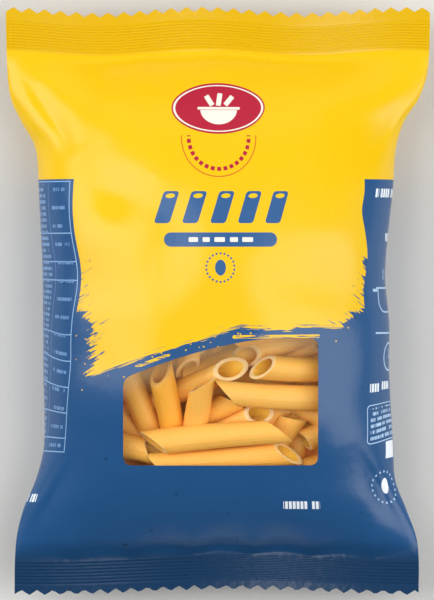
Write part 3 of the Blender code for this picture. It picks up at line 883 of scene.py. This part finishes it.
def print_cooking_panel(tree, film, across, up, colour):
    """Marks on the right panel: a heading, a pot, a clock, a boxed note and a ringed drop."""
    pot_x, pot_y = POT_CENTRE
    clock_x, clock_y = CLOCK_CENTRE
    note_wide, note_tall = NOTE_HALF
    pot_wall, pot_inside, below_rim, note, note_inside, note_rows, *pale = marks(
        tree,
        film,
        (plate, POT_CENTRE, (6.6, 6.3), 4.0),
        (plate, POT_CENTRE, (6.1, 5.8), 3.6),
        (plate, (pot_x, pot_y - 3.0), (8.0, 5.0)),
        (plate, NOTE_CENTRE, NOTE_HALF, 1.6),
        (plate, NOTE_CENTRE, (note_wide - 0.35, note_tall - 0.35), 1.3),
        (plate, NOTE_CENTRE, (note_wide - 1.6, note_tall - 1.2)),
        (plate, (pot_x, pot_y + 2.2), (7.6, 0.3)),
        (plate, (pot_x - 8.3, pot_y + 1.4), (1.4, 0.5)),
        (plate, (pot_x - 2.5, pot_y + 6.8), (0.28, 1.9), 0.2, 15),
        (plate, (pot_x + 1.5, pot_y + 6.8), (0.28, 1.9), 0.2, 15),
        (plate, (67.0, -11.0), (7.5, 0.3)),
        (ellipse, CLOCK_CENTRE, (4.9, 4.9), 0.3),
        (plate, (clock_x, clock_y + 1.4), (0.28, 1.6), 0.2),
        (plate, (clock_x + 1.0, clock_y - 0.3), (1.2, 0.28), 0.2, -20),
        (dotted_ring, (65.5, -64.5), 5.2, 18, 0.32),
    )
    pale.append(all_of(tree, [all_but(tree, pot_wall, pot_inside), below_rim]))
    pale.append(all_but(tree, note, note_inside))
    pale.append(all_of(tree, [small_print(tree, across, up, 5.0), note_rows]))
    colour = over(tree, colour, PANEL_INK, any_of(tree, pale))
    square, drop, *bold = marks(
        tree,
        film,
        (plate, (69.0, -52.7), (3.0, 2.6), 0.2),
        (ellipse, (66.0, -64.0), (1.4, 2.6)),
        (plate, (60.6, 37.2), (1.0, 1.5), 0.3),
        (plate, (65.5, 37.2), (3.2, 1.5), 0.3),
        (plate, (74.0, 37.2), (4.2, 1.5), 0.3),
        (plate, (69.4, 22.0), (2.2, 1.4), 0.4),
        (plate, (60.0, -30.1), (2.6, 1.5), 0.3),
        (plate, (67.0, -29.6), (3.0, 1.5), 0.3),
    )
    barred = all_of(tree, [any_of(tree, bold), bold_bars(tree, across)])
    return over(tree, colour, WHITE_INK, any_of(tree, [barred, square, drop]))


def print_badge(tree, film, colour):
    """A red oval plaque with a bowl of penne, over an arc of dots."""
    x, y = BADGE_CENTRE
    colour = over(tree, colour, RED_INK, ellipse(tree, film, BADGE_CENTRE, BADGE_HALF))
    bowl, below_rim, *cream = marks(
        tree,
        film,
        (ellipse, (x, y - 0.6), (6.4, 5.0)),
        (plate, (x, y - 3.6), (7.0, 3.0)),
        (ellipse, BADGE_CENTRE, (BADGE_HALF[0] - 0.9, BADGE_HALF[1] - 0.9), 0.2),
        (plate, (x, y), (7.4, 0.45), 0.4),
        (plate, (x - 3.4, y + 2.7), (0.85, 2.0), 0.3, 32),
        (plate, (x, y + 3.1), (0.85, 2.2), 0.3, -8),
        (plate, (x + 3.4, y + 2.7), (0.85, 2.0), 0.3, -38),
    )
    colour = over(tree, colour, CREAM_INK, any_of(tree, [all_of(tree, [bowl, below_rim]), *cream]))
    under, dots, arc = marks(
        tree,
        film,
        (plate, (x, y - 17.0), (15.0, 7.6)),
        (dotted_ring, BADGE_ARC_CENTRE, BADGE_ARC_RADIUS - 2.6, 30, 0.7),
        (ellipse, BADGE_ARC_CENTRE, (BADGE_ARC_RADIUS, BADGE_ARC_RADIUS), 0.2),
    )
    colour = over(tree, colour, RED_INK, all_of(tree, [dots, under]))
    return over(tree, colour, ORANGE_INK, all_of(tree, [arc, under]))


def print_title(tree, film, across, up, colour):
    """Five slanted tubes in a row, a band under them with a row of bars, and a ringed drop."""
    middle, level = TITLE_CENTRE
    lean = add(tree, MATH, (up, level), operation="SUBTRACT")
    slanted = add(tree, MATH, (lean, -TITLE_SLANT, across), operation="MULTIPLY_ADD")
    along = add(tree, MATH, (slanted, middle - TITLE_HALF), operation="SUBTRACT")
    turns = add(tree, MATH, (along, TITLE_PITCH), operation="DIVIDE")
    share = add(tree, MATH, (turns,), operation="FRACT")
    beside = add(tree, MATH, (share, TITLE_PITCH, -TITLE_PITCH / 2), operation="MULTIPLY_ADD")
    local = add(tree, "ShaderNodeCombineXYZ", (beside, lean, 0.0))
    slanted_film = add(tree, "ShaderNodeCombineXYZ", (slanted, up, 0.0))
    in_row = plate(tree, slanted_film, TITLE_CENTRE, (TITLE_HALF, 8.0))
    tubes = all_of(tree, [in_row, plate(tree, local, (0.0, 0.0), TITLE_TUBE_HALF, 1.1)])
    bores = all_of(tree, [in_row, ellipse(tree, local, (0.0, TITLE_TUBE_HALF[1] - 1.6), (1.6, 0.8))])
    blue = marks(
        tree,
        film,
        (plate, PILL_CENTRE, PILL_HALF, PILL_HALF[1] - 0.05),
        (dotted_ring, RING_CENTRE, RING_RADIUS, 22, 0.34),
        (ellipse, RING_CENTRE, (1.9, 2.7)),
    )
    colour = over(tree, colour, LETTER_BLUE_INK, any_of(tree, [all_but(tree, tubes, bores), *blue]))
    pill_x, pill_y = PILL_CENTRE
    dashes = [plate(tree, film, (pill_x + place, pill_y), (half, 0.8), 0.3) for place, half in PILL_DASHES]
    return over(tree, colour, CREAM_INK, any_of(tree, dashes))


def make_printed_film():
    """Biaxially oriented polypropylene, reverse printed and matt lacquered.

    It is satin, a little uneven in its colours and softly wrinkled.
    """
    material, tree = new_material("printed_matt_polypropylene")

    # Millimetres across and up the flat film, from the piece's own UV map
    flat = add(tree, "ShaderNodeUVMap", uv_map="film")
    centred = add(tree, VECTOR_MATH, (flat, (0.5, 0.5, 0.0)), operation="SUBTRACT")
    film = add(tree, VECTOR_MATH, {0: centred, "Scale": FILM_SPAN}, operation="SCALE")
    split = add(tree, "ShaderNodeSeparateXYZ", (film,))
    across, up = split.outputs["X"], split.outputs["Y"]

    # Inks, each a little uneven as flexographic print is, and flecks about 0.8 mm across in the blue
    cloud = add(tree, NOISE, {"Vector": film, "Scale": 0.05, "Detail": 2.0})
    yellow, blue = (over(tree, *inks, cloud) for inks in (YELLOW_INK, BLUE_INK))
    cells = add(tree, "ShaderNodeTexVoronoi", {"Vector": film, "Scale": FLECK_SCALE})
    blue = over(tree, blue, FLECK_INK, add(tree, MATH, (cells, FLECK_SIZE), operation="LESS_THAN"))
    colour = over(tree, blue, yellow, brushed_field(tree, film, across, up))

    # Two stray yellow strokes, ragged and broken: one along the window's top and one under the brushed edge
    frayed = bristle_marks(tree, across, up, 1.0, 9.0, 0.5, 6.0)
    for centre, half, turn, least in STRAY_STROKES:
        inked = add(tree, MATH, (frayed, least), operation="GREATER_THAN")
        stroke = plate(tree, film, centre, half, 0.7, turn)
        colour = over(tree, colour, yellow, all_of(tree, [stroke, inked]))
    colour = print_table(tree, film, across, up, colour)
    colour = print_cooking_panel(tree, film, across, up, colour)
    colour = print_badge(tree, film, colour)
    colour = print_title(tree, film, across, up, colour)
    weights = [plate(tree, film, centre, half, 0.3) for centre, half in WEIGHT_MARKS]
    colour = over(tree, colour, WHITE_INK, all_of(tree, [any_of(tree, weights), bold_bars(tree, across)]))

    # Painted shade: the end seals darken, the bottom one most, where the film bends away from the light.
    for start, end, depth in SEAL_PAINTED_SHADES:
        painted_seal_shade = add(tree, RANGE, {"Value": up, "From Min": start, "From Max": end})
        colour = over(tree, colour, depth, painted_seal_shade, "MULTIPLY")

    # Soft wrinkles, and a smoother shine where the sealing jaws ironed the film
    wrinkles = add(tree, NOISE, {"Vector": film, "Scale": 0.4, "Detail": 1.5})
    wrinkled = add(tree, "ShaderNodeBump", {"Height": wrinkles, "Strength": 0.12, "Distance": 0.0006})
    beyond = add(tree, MATH, (up,), operation="ABSOLUTE")
    sources = {"Value": beyond, "From Min": IRONED_FROM, "From Max": IRONED_TO}
    ironed = add(tree, RANGE, {**sources, "To Min": MATT_ROUGHNESS, "To Max": IRONED_ROUGHNESS})
    sources = {"Base Color": colour, "Roughness": ironed, "IOR": 1.47, "Normal": wrinkled}
    add(tree, OUTPUT, (add(tree, PRINCIPLED, sources),))
    return material


def make_backing():
    """White ink behind the print: dull and bright, so it throws light back onto the pasta inside."""
    material, tree = new_material("white_backing_ink")
    place = add(tree, "ShaderNodeTexCoord").outputs["Object"]
    cloud = add(tree, NOISE, {"Vector": place, "Scale": 60.0})
    white = over(tree, "#EFECE3", "#F5F2EA", cloud)
    add(tree, OUTPUT, (add(tree, PRINCIPLED, {"Base Color": white, "Roughness": 0.6}),))
    return material


def make_clear_film():
    """The same film unprinted: clear, a soft shine growing to its edges, and painted shade under its veil."""
    material, tree = new_material("clear_polypropylene")
    veil = add(tree, "ShaderNodeAttribute", attribute_name="veil")
    seen = add(tree, "ShaderNodeBsdfTransparent", {"Color": linear("#FFFFFF")})
    # Its gloss is real; under the veil its brownish colour is painted shade on the pasta
    shine_and_veil_shade = add(tree, PRINCIPLED, {"Base Color": linear("#C0A070"), "Roughness": 0.3, "IOR": 1.49})
    facing = add(tree, "ShaderNodeLayerWeight", {"Blend": 0.5}).outputs["Facing"]
    grazing = add(tree, MATH, (facing, 5.0), operation="POWER")
    gloss = add(tree, MATH, (grazing, GRAZING_SHINE, SHINE), operation="MULTIPLY_ADD")
    share = add(tree, MATH, (veil.outputs["Fac"], VEIL_SHADE_SHARE, gloss), operation="MULTIPLY_ADD")
    share = add(tree, MATH, (share, MOST_SHINE), operation="MINIMUM")
    add(tree, OUTPUT, (add(tree, "ShaderNodeMixShader", (share, seen, shine_and_veil_shade)),))
    return material


def make_dough(name, pale, deep, roughness):
    """Dried durum dough, extruded: dull, faintly translucent, with fine grain and lengthwise drag marks."""
    material, tree = new_material(name)
    place = add(tree, "ShaderNodeTexCoord").outputs["Object"]
    patches = add(tree, NOISE, {"Vector": place, "Scale": 130.0, "Detail": 3.0})
    tint = add(tree, "ShaderNodeAttribute", attribute_name="tint").outputs["Fac"]
    colour = over(tree, over(tree, pale, deep, patches), GOLDEN_DOUGH, tint)
    round_and_along = add(tree, "ShaderNodeUVMap", uv_map="film")
    stretched = add(tree, VECTOR_MATH, (round_and_along, (DRAG_MARKS, 2.0, 0.0)), operation="MULTIPLY")
    drags = add(tree, NOISE, {"Vector": stretched, "Scale": 1.0, "Detail": 1.0})
    specks = add(tree, NOISE, {"Vector": place, "Scale": 1500.0, "Detail": 2.0})
    grain = add(tree, MATH, (drags, 2.0, specks), operation="MULTIPLY_ADD")
    sources = {
        "Base Color": colour,
        "Roughness": roughness,
        "IOR": 1.5,
        "Normal": add(tree, "ShaderNodeBump", {"Height": grain, "Strength": 0.4, "Distance": 0.0003}),
        "Subsurface Weight": 0.35,
        "Subsurface Radius": (0.0012, 0.0008, 0.0004),
        "Subsurface Scale": 1.0,
    }
    add(tree, OUTPUT, (add(tree, PRINCIPLED, sources),))
    return material


def make_floor_finish():
    """Matt white photographic paper, with a very fine tooth."""
    material, tree = new_material("matt_backdrop_paper")
    place = add(tree, "ShaderNodeTexCoord").outputs["Object"]
    tooth = add(tree, NOISE, {"Vector": place, "Scale": 900.0, "Detail": 2.0})
    rough = add(tree, "ShaderNodeBump", {"Height": tooth, "Strength": 0.05, "Distance": 0.0002})
    grey = over(tree, "#D3D2CF", "#D9D8D5", tooth)
    add(tree, OUTPUT, (add(tree, PRINCIPLED, {"Base Color": grey, "Roughness": 0.85, "Normal": rough}),))
    return material


def new_tree(name, inputs):
    """An empty Geometry Nodes tree with its named inputs, and the node that gives them."""
    tree = bpy.data.node_groups.new(name, "GeometryNodeTree")
    for socket, kind in {"Geometry": "Geometry", **inputs}.items():
        tree.interface.new_socket(socket, in_out="INPUT", socket_type=f"NodeSocket{kind}")
    tree.interface.new_socket("Geometry", in_out="OUTPUT", socket_type="NodeSocketGeometry")
    return tree, add(tree, "NodeGroupInput")


def crimp_tree():
    """Geometry Nodes that press crimp ridges into both end seals. Both layers of film follow them."""
    words = ("start", "pitch", "end", "ridge")
    floats = {f"{end} {word}": "Float" for end in ("Top", "Bottom") for word in words}
    tree, given = new_tree("crimped_ends", {**floats, "Film": "Material"})
    flat = add(tree, "GeometryNodeInputNamedAttribute", {"Name": "film"}, data_type="FLOAT_VECTOR")
    level = add(tree, "ShaderNodeSeparateXYZ", (flat,)).outputs["Y"]
    level = add(tree, MATH, (level, 0.5), operation="SUBTRACT")
    level = add(tree, MATH, (level, FILM_SPAN), operation="MULTIPLY")
    waves = []
    for end, sign in (("Top", 1.0), ("Bottom", -1.0)):
        start, pitch, stop, ridge = (given.outputs[f"{end} {word}"] for word in words)
        reach = add(tree, MATH, (level, sign), operation="MULTIPLY")
        past = add(tree, MATH, (reach, start), operation="GREATER_THAN")
        before = add(tree, MATH, (reach, stop), operation="LESS_THAN")
        pressed = add(tree, MATH, (reach, start), operation="SUBTRACT")
        for operation, by in (
            ("DIVIDE", pitch),
            ("MULTIPLY", math.tau),
            ("SINE", None),
            ("MULTIPLY", past),
            ("MULTIPLY", before),
            ("MULTIPLY", ridge),
        ):
            pressed = add(tree, MATH, (pressed, by), operation=operation)
        waves.append(pressed)
    offset = add(tree, "ShaderNodeCombineXYZ", {"Z": add(tree, MATH, waves, operation="ADD")})
    moved = add(tree, "GeometryNodeSetPosition", {"Geometry": given.outputs["Geometry"], "Offset": offset})
    real = add(tree, "GeometryNodeRealizeInstances", (moved,))
    finished = add(tree, "GeometryNodeSetMaterial", {"Geometry": real, "Material": given.outputs["Film"]})
    add(tree, "NodeGroupOutput", (finished,))
    return tree


def give_tree(made, tree, values):
    """Puts a Geometry Nodes tree on an object, with its named inputs set by their identifiers."""
    modifier = made.modifiers.new(tree.name, "NODES")
    modifier.node_group = tree
    for item in tree.interface.items_tree:
        if item.item_type == "SOCKET" and item.in_out == "INPUT" and item.name in values:
            modifier[item.identifier] = values[item.name]


def film_shell():
    """The bag's outer surface, closed, with the film's flat coordinates as its UV map."""
    sheets = []
    for face in (1, -1):
        sheet = []
        for row in film_rows():
            line = [film_point(2 * i / ACROSS - 1, row, face) for i in range(ACROSS + 1)]
            corners = []
            for point, u in zip(line, film_coordinates(line, face)):
                sideways, along = drift(u, point.y)
                flat_y = point.y - in_seal(row[0]) * sway(point.x, row[0])
                corners.append((point, u + sideways, flat_y + along))
            sheet.append(corners)
        sheets.append(sheet)
    return closed_body("printed_film", *sheets)


def make_film(material, backing):
    """The printed film bag, crimped, with the window cut out of its front and white ink on its inner side."""
    film = finish_mesh(film_shell(), "film_blank")
    sizes = {
        "Top ridge": TOP_RIDGE_HEIGHT * TO_METRES,
        "Bottom ridge": BOTTOM_RIDGE_HEIGHT * TO_METRES,
        "Top start": CRIMP_TOP,
        "Top pitch": TOP_RIDGE_PITCH,
        "Top end": CRIMP_TOP + TOP_RIDGES * TOP_RIDGE_PITCH,
        "Bottom start": -CRIMP_BOTTOM,
        "Bottom pitch": BOTTOM_RIDGE_PITCH,
        "Bottom end": -CRIMP_BOTTOM + BOTTOM_RIDGES * BOTTOM_RIDGE_PITCH,
        "Film": material,
    }
    give_tree(film, crimp_tree(), sizes)

    # Only the hole in the front sheet is wanted, so the walls that the cutter leaves inside the bag go.
    waste = bpy.data.materials.new("waste")
    builder = bmesh.new()
    base = builder.faces.new([builder.verts.new((*point[:2], CUTTER_BASE)) for point in window_outline()])
    raised = bmesh.ops.extrude_face_region(builder, geom=[base])
    corners = [item for item in raised["geom"] if isinstance(item, bmesh.types.BMVert)]
    bmesh.ops.translate(builder, verts=corners, vec=(0, 0, CUTTER_RISE))
    bmesh.ops.recalc_face_normals(builder, faces=builder.faces)
    cutter = finish_mesh(new_mesh(builder, "window_cutter", waste), "window_cutter")
    cut = film.modifiers.new("Window", "BOOLEAN")
    cut.operation = "DIFFERENCE"
    cut.solver = "EXACT"
    cut.material_mode = "TRANSFER"
    cut.object = cutter
    mesh = evaluated_copy(film, "opened_film")
    bpy.data.objects.remove(cutter)
    wasted = [i for i, slot in enumerate(mesh.materials) if slot == waste]
    builder = bmesh.new()
    builder.from_mesh(mesh)
    bmesh.ops.delete(builder, geom=[f for f in builder.faces if f.material_index in wasted], context="FACES")
    thin = new_object("thin_film", new_mesh(builder, "thin_film", material, backing))
    thick = thin.modifiers.new("Thickness", "SOLIDIFY")
    thick.thickness = FILM_THICKNESS * TO_METRES
    thick.offset = -1.0
    thick.material_offset = 1
    mesh = evaluated_copy(thin, "printed_film")
    shade(mesh, sharp_angle=75)
    return new_object("printed_film", mesh)


def make_clear_pane(material):
    """The unprinted film behind the window hole, with a veil of shade by the print's top and left edges."""
    builder = bmesh.new()
    veil = builder.verts.layers.float.new("veil")
    low, wide = WINDOW_BOTTOM - PANE_MARGIN, WINDOW_RIGHT - WINDOW_LEFT + 2 * PANE_MARGIN
    grid = []
    for j in range(PANE_ROWS + 1):
        line = []
        for i in range(PANE_COLUMNS + 1):
            x = WINDOW_LEFT - PANE_MARGIN + wide * i / PANE_COLUMNS
            y = low + (window_top(x) + PANE_MARGIN - low) * j / PANE_ROWS
            point = builder.verts.new((x, y, height(x, y, 1) - PANE_DEPTH))
            strengths = (
                strength * smooth_step(1 - away / reach)
                for (strength, reach), away in ((VEIL_TOP, window_top(x) - y), (VEIL_LEFT, x - WINDOW_LEFT))
            )
            point[veil] = min(1.0, sum(strengths))
            line.append(point)
        grid.append(line)
    for low_line, high_line in zip(grid, grid[1:]):
        for i in range(PANE_COLUMNS):
            builder.faces.new((low_line[i], low_line[i + 1], high_line[i + 1], high_line[i]))
    return finish_mesh(new_mesh(builder, "clear_film", material), "clear_film")


def make_seam(material):
    """The film's lapped seam down the back, folded flat to one side."""
    sheets = []
    for level in SEAM_LEVELS:
        sheet = []
        for y, to_edge in film_rows():
            if 0 < to_edge < 1:
                continue
            line = []
            for i in range(SEAM_COLUMNS + 1):
                x = SEAM_LEFT + (SEAM_RIGHT - SEAM_LEFT) * i / SEAM_COLUMNS
                place = tooth_edge(x, math.copysign(1, y)) if to_edge else y
                point = on_bag(x, place, max(0.0, height(x, y, -1) + level), edge=bool(to_edge))
                line.append((point, x + SEAM_PRINT_PLACE, point.y))
            sheet.append(line)
        sheets.append(sheet)
    mesh = closed_body("back_seam", *sheets)
    mesh.materials.append(material)
    return finish_mesh(mesh, "back_seam")


def penne_mesh(kind):
    """One of the penne, its axis along Z and its parallel cuts leaning to +X, a bit bent and out of round."""
    draw = random.Random(kind)
    bend = draw.uniform(-PENNE_BEND, PENNE_BEND)
    flattening = 1 + draw.uniform(0.0, PENNE_FLATTENING)
    bulge = draw.uniform(*PENNE_BULGE)
    builder = bmesh.new()
    flat = builder.loops.layers.uv.new("film")
    cut = builder.faces.layers.bool.new("cut_face")
    bore = builder.faces.layers.bool.new("bore_face")

    def ring(radius, share, lean_in=0.0):
        line = []
        for i in range(PENNE_SIDES):
            angle = math.tau * i / PENNE_SIDES
            uneven = PENNE_UNEVENNESS * math.sin(3 * angle + kind)
            swollen = radius + bulge * math.sin(math.pi * share) + uneven
            x, y = swollen * math.cos(angle) * flattening, swollen * math.sin(angle) / flattening
            z = (share - 0.5) * PENNE_LENGTH - x - lean_in
            arc = bend * (1 - (2 * share - 1) ** 2)
            line.append(builder.verts.new((x + arc, y, z)))
        return line

    middle = (PENNE_RADIUS + PENNE_BORE) / 2
    outer = [ring(PENNE_RADIUS, i / PENNE_RINGS) for i in range(PENNE_RINGS + 1)]
    top_lip = ring(middle, 1.0, -CUT_ROUNDING)
    inner = [ring(PENNE_BORE, 1 - i / PENNE_RINGS) for i in range(PENNE_RINGS + 1)]
    bottom_lip = ring(middle, 0.0, CUT_ROUNDING)
    loops = [*outer, top_lip, *inner, bottom_lip]
    for j, line in enumerate(loops):
        onward = loops[(j + 1) % len(loops)]
        on_cut = j in (PENNE_RINGS, PENNE_RINGS + 1, 2 * PENNE_RINGS + 2, 2 * PENNE_RINGS + 3)
        for i in range(PENNE_SIDES):
            after = (i + 1) % PENNE_SIDES
            made = builder.faces.new((line[i], line[after], onward[after], onward[i]))
            made[cut] = on_cut
            made[bore] = PENNE_RINGS + 1 < j < 2 * PENNE_RINGS + 2
            for loop, (turn, rise) in zip(made.loops, ((i, j), (i + 1, j), (i + 1, j + 1), (i, j + 1))):
                loop[flat].uv = (turn / PENNE_SIDES, rise / len(loops))
    mesh = new_mesh(builder, f"penne_kind_{kind}")
    mesh.transform(Matrix.Scale(TO_METRES, 4))
    shade(mesh, sharp_angle=50)
    return mesh


def below_film(place):
    """The point at a place across and up the bag, and a depth below the film, square to it."""
    x, y, depth = place
    slope_x = (height(x + 1, y, 1) - height(x - 1, y, 1)) / 2
    slope_y = (height(x, y + 1, 1) - height(x, y - 1, 1)) / 2
    steepness = math.sqrt(1 + slope_x**2 + slope_y**2)
    return Vector((x, y, height(x, y, 1) - max(depth, SHALLOWEST_AXIS) * steepness))


def all_penne():
    """Each of the penne: the points of its ends, and which way its cut leans. The deep ones are random."""
    for start, end, lean in PENNE:
        yield below_film(start), below_film(end), lean
    draw = random.Random(LOOSE_SEED)
    left, right, bottom, top = LOOSE_FIELD
    for _ in range(LOOSE_PENNE):
        turn = draw.uniform(0, math.pi)
        reach = Vector((math.cos(turn), math.sin(turn), draw.uniform(-LOOSE_TILT, LOOSE_TILT)))
        reach = reach * draw.uniform(*LOOSE_HALF_LENGTH)
        x = draw.uniform(left + abs(reach.x), right - abs(reach.x))
        y = draw.uniform(bottom + abs(reach.y), top - abs(reach.y))
        middle = Vector((x, y, draw.uniform(*LOOSE_LEVELS)))
        ends = [middle - reach, middle + reach]
        for end in ends:
            end.z = min(end.z, height(end.x, end.y, 1) - LOOSE_CLEARANCE)
        yield *ends, draw.uniform(0, 360)


def heap_tree():
    """Geometry Nodes that lay one of several penne at each point, turned and stretched as the point says."""
    doughs = ("Dough", "Cut dough", "Bore dough")
    tree, given = new_tree("penne_heap", {"Penne": "Collection", **{dough: "Material" for dough in doughs}})
    sources = {"Collection": given.outputs["Penne"], "Separate Children": True, "Reset Children": True}
    kinds = add(tree, "GeometryNodeCollectionInfo", sources)
    turn, stretch, kind, cut_face, bore_face = (
        add(tree, "GeometryNodeInputNamedAttribute", {"Name": name}, data_type=data)
        for name, data in (
            ("turn", "FLOAT_VECTOR"),
            ("stretch", "FLOAT_VECTOR"),
            ("kind", "INT"),
            ("cut_face", "BOOLEAN"),
            ("bore_face", "BOOLEAN"),
        )
    )
    sources = {
        "Points": add(tree, "GeometryNodeMeshToPoints", {"Mesh": given.outputs["Geometry"]}),
        "Instance": kinds,
        "Pick Instance": True,
        "Instance Index": kind,
        "Rotation": turn,
        "Scale": stretch,
    }
    laid = add(tree, "GeometryNodeInstanceOnPoints", sources)
    made = add(tree, "GeometryNodeRealizeInstances", (laid,))
    for chosen, dough in zip((None, cut_face, bore_face), doughs):
        sources = {"Geometry": made, "Selection": chosen, "Material": given.outputs[dough]}
        made = add(tree, "GeometryNodeSetMaterial", sources)
    add(tree, "NodeGroupOutput", (made,))
    return tree


def make_penne(dough, cut_dough, bore_dough):
    """The penne behind the window, each with a tint of its own."""
    kinds = bpy.data.collections.new("penne_kinds")
    for kind in range(PENNE_KINDS):
        kinds.objects.link(bpy.data.objects.new(f"penne_kind_{kind}", penne_mesh(kind)))
    places, turns, stretches, picks, tints = [], [], [], [], []
    draw = random.Random(LOOSE_SEED)
    for i, (start, end, lean) in enumerate(all_penne()):
        along = (end - start).normalized()
        sideways = Vector((0, 0, 1)).cross(along).normalized()
        facing = Matrix((sideways, along.cross(sideways), along)).transposed()
        turned = facing @ Matrix.Rotation(math.radians(lean), 3, "Z")
        places.append((start + end) / 2 * TO_METRES)
        turns += turned.to_euler()[:]
        stretches += (1.0, 1.0, (end - start).length / PENNE_LENGTH)
        picks.append(i % PENNE_KINDS)
        tints.append(GOLDEN_TINT if i == GOLDEN_PENNE else TINT_SPREAD * draw.random())
    mesh = bpy.data.meshes.new("penne_places")
    mesh.from_pydata(places, [], [])
    for name, kind, part, values in (
        ("turn", "FLOAT_VECTOR", "vector", turns),
        ("stretch", "FLOAT_VECTOR", "vector", stretches),
        ("kind", "INT", "value", picks),
        ("tint", "FLOAT", "value", tints),
    ):
        mesh.attributes.new(name, kind, "POINT").data.foreach_set(part, values)
    carrier = new_object("penne_places", mesh)
    given = {"Penne": kinds, "Dough": dough, "Cut dough": cut_dough, "Bore dough": bore_dough}
    give_tree(carrier, heap_tree(), given)
    heap = evaluated_copy(carrier, "penne")
    for kind in list(kinds.objects):
        bpy.data.objects.remove(kind)
    bpy.data.collections.remove(kinds)
    return new_object("penne", heap)


def make_core(material):
    """The rest of the pasta, as one lumpy body that fills the bag, dished behind the window."""
    left, right, bottom, top = DISH
    lump_length, lump_height = DISH_LUMPS
    span = BODY_TOP - BODY_BOTTOM - 2 * CORE_END
    sheets = []
    for face in (1, -1):
        sheet = []
        for j in range(CORE_ROWS + 1):
            y = BODY_BOTTOM + CORE_END + span * j / CORE_ROWS
            edge_left, edge_right = edges_at(y)
            half = (edge_right - edge_left) / 2 - side_inset(CORE_INSET, swell(y))
            line = []
            for i in range(CORE_COLUMNS + 1):
                x = (edge_left + edge_right) / 2 + half * math.sin((2 * i / CORE_COLUMNS - 1) * math.pi / 2)
                z = height(x, y, face, CORE_INSET)
                if face > 0 and min(x - left, right - x, y - bottom, top - y) > DISH_RIM:
                    lumps = lump_height * noise.noise((x / lump_length, y / lump_length, 5.0))
                    z = min(z, DISH_FLOOR + lumps)
                line.append(((x, y, z), 0.0, 0.0))
            sheet.append(line)
        sheets.append(sheet)
    mesh = closed_body("pasta_core", *sheets, mapped=False)
    mesh.materials.append(material)
    return finish_mesh(mesh, "pasta_core")


def make_camera():
    camera = new_object("camera", bpy.data.cameras.new("camera"))
    camera.data.sensor_width = SENSOR
    camera.data.lens = SENSOR * (VIEW_HEIGHT - VIEW_LEVEL) / VIEW_LENGTH
    camera.data.clip_end = 20.0
    camera.location = (*VIEW_CENTRE, VIEW_HEIGHT)
    bpy.context.scene.camera = camera


def make_studio():
    """Pale floor and soft light: two softboxes that show in the film's shine, and four fills that don't."""
    builder = bmesh.new()
    bmesh.ops.create_grid(builder, x_segments=1, y_segments=1, size=FLOOR_HALF)
    new_object("floor", new_mesh(builder, "floor", make_floor_finish()))
    for name, place, size, watts, glossy in LIGHTS:
        light = bpy.data.lights.new(name, "AREA")
        light.shape = "RECTANGLE"
        light.size, light.size_y = size
        light.energy = watts
        made = new_object(name, light)
        made.location = place
        made.visible_glossy = glossy
        made.rotation_mode = "QUATERNION"
        made.rotation_quaternion = (Vector(LIGHTS_AIM) - Vector(place)).to_track_quat("-Z", "Y")
    world = bpy.data.worlds.new("studio")
    world.use_nodes = True
    sky = world.node_tree.nodes["Background"].inputs
    sky["Color"].default_value = linear("#F4F5F7")
    sky["Strength"].default_value = SKY_STRENGTH
    bpy.context.scene.world = world
    bpy.context.scene.view_settings.view_transform = "Standard"


def place_piece(made, node):
    """The piece rides on the packet in place of a CAD node, which is hidden."""
    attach(made, "root")
    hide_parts(node)


make_camera()
make_studio()
film_material = make_printed_film()
dough = make_dough("dried_durum_dough", "#FFC766", "#FFBD54", 0.5)
cut_dough = make_dough("cut_durum_dough", "#FFE0AA", "#FFD89C", 0.6)
# Painted light: the bores' dough is more saturated, for the colour light gains bouncing in the tubes
bore_dough = make_dough("bore_durum_dough", "#FFCE50", "#FFC43E", 0.6)
# Painted shade: the core's dough is darker than the penne's, for the shade in the gaps deep in the heap
painted_shade_dough = make_dough("shaded_durum_dough", "#E8922E", "#D87F22", 0.6)
place_piece(make_film(film_material, make_backing()), "packet")
place_piece(make_seam(film_material), "packet")
place_piece(make_clear_pane(make_clear_film()), "window")
place_piece(make_penne(dough, cut_dough, bore_dough), "pasta")
place_piece(make_core(painted_shade_dough), "pasta")
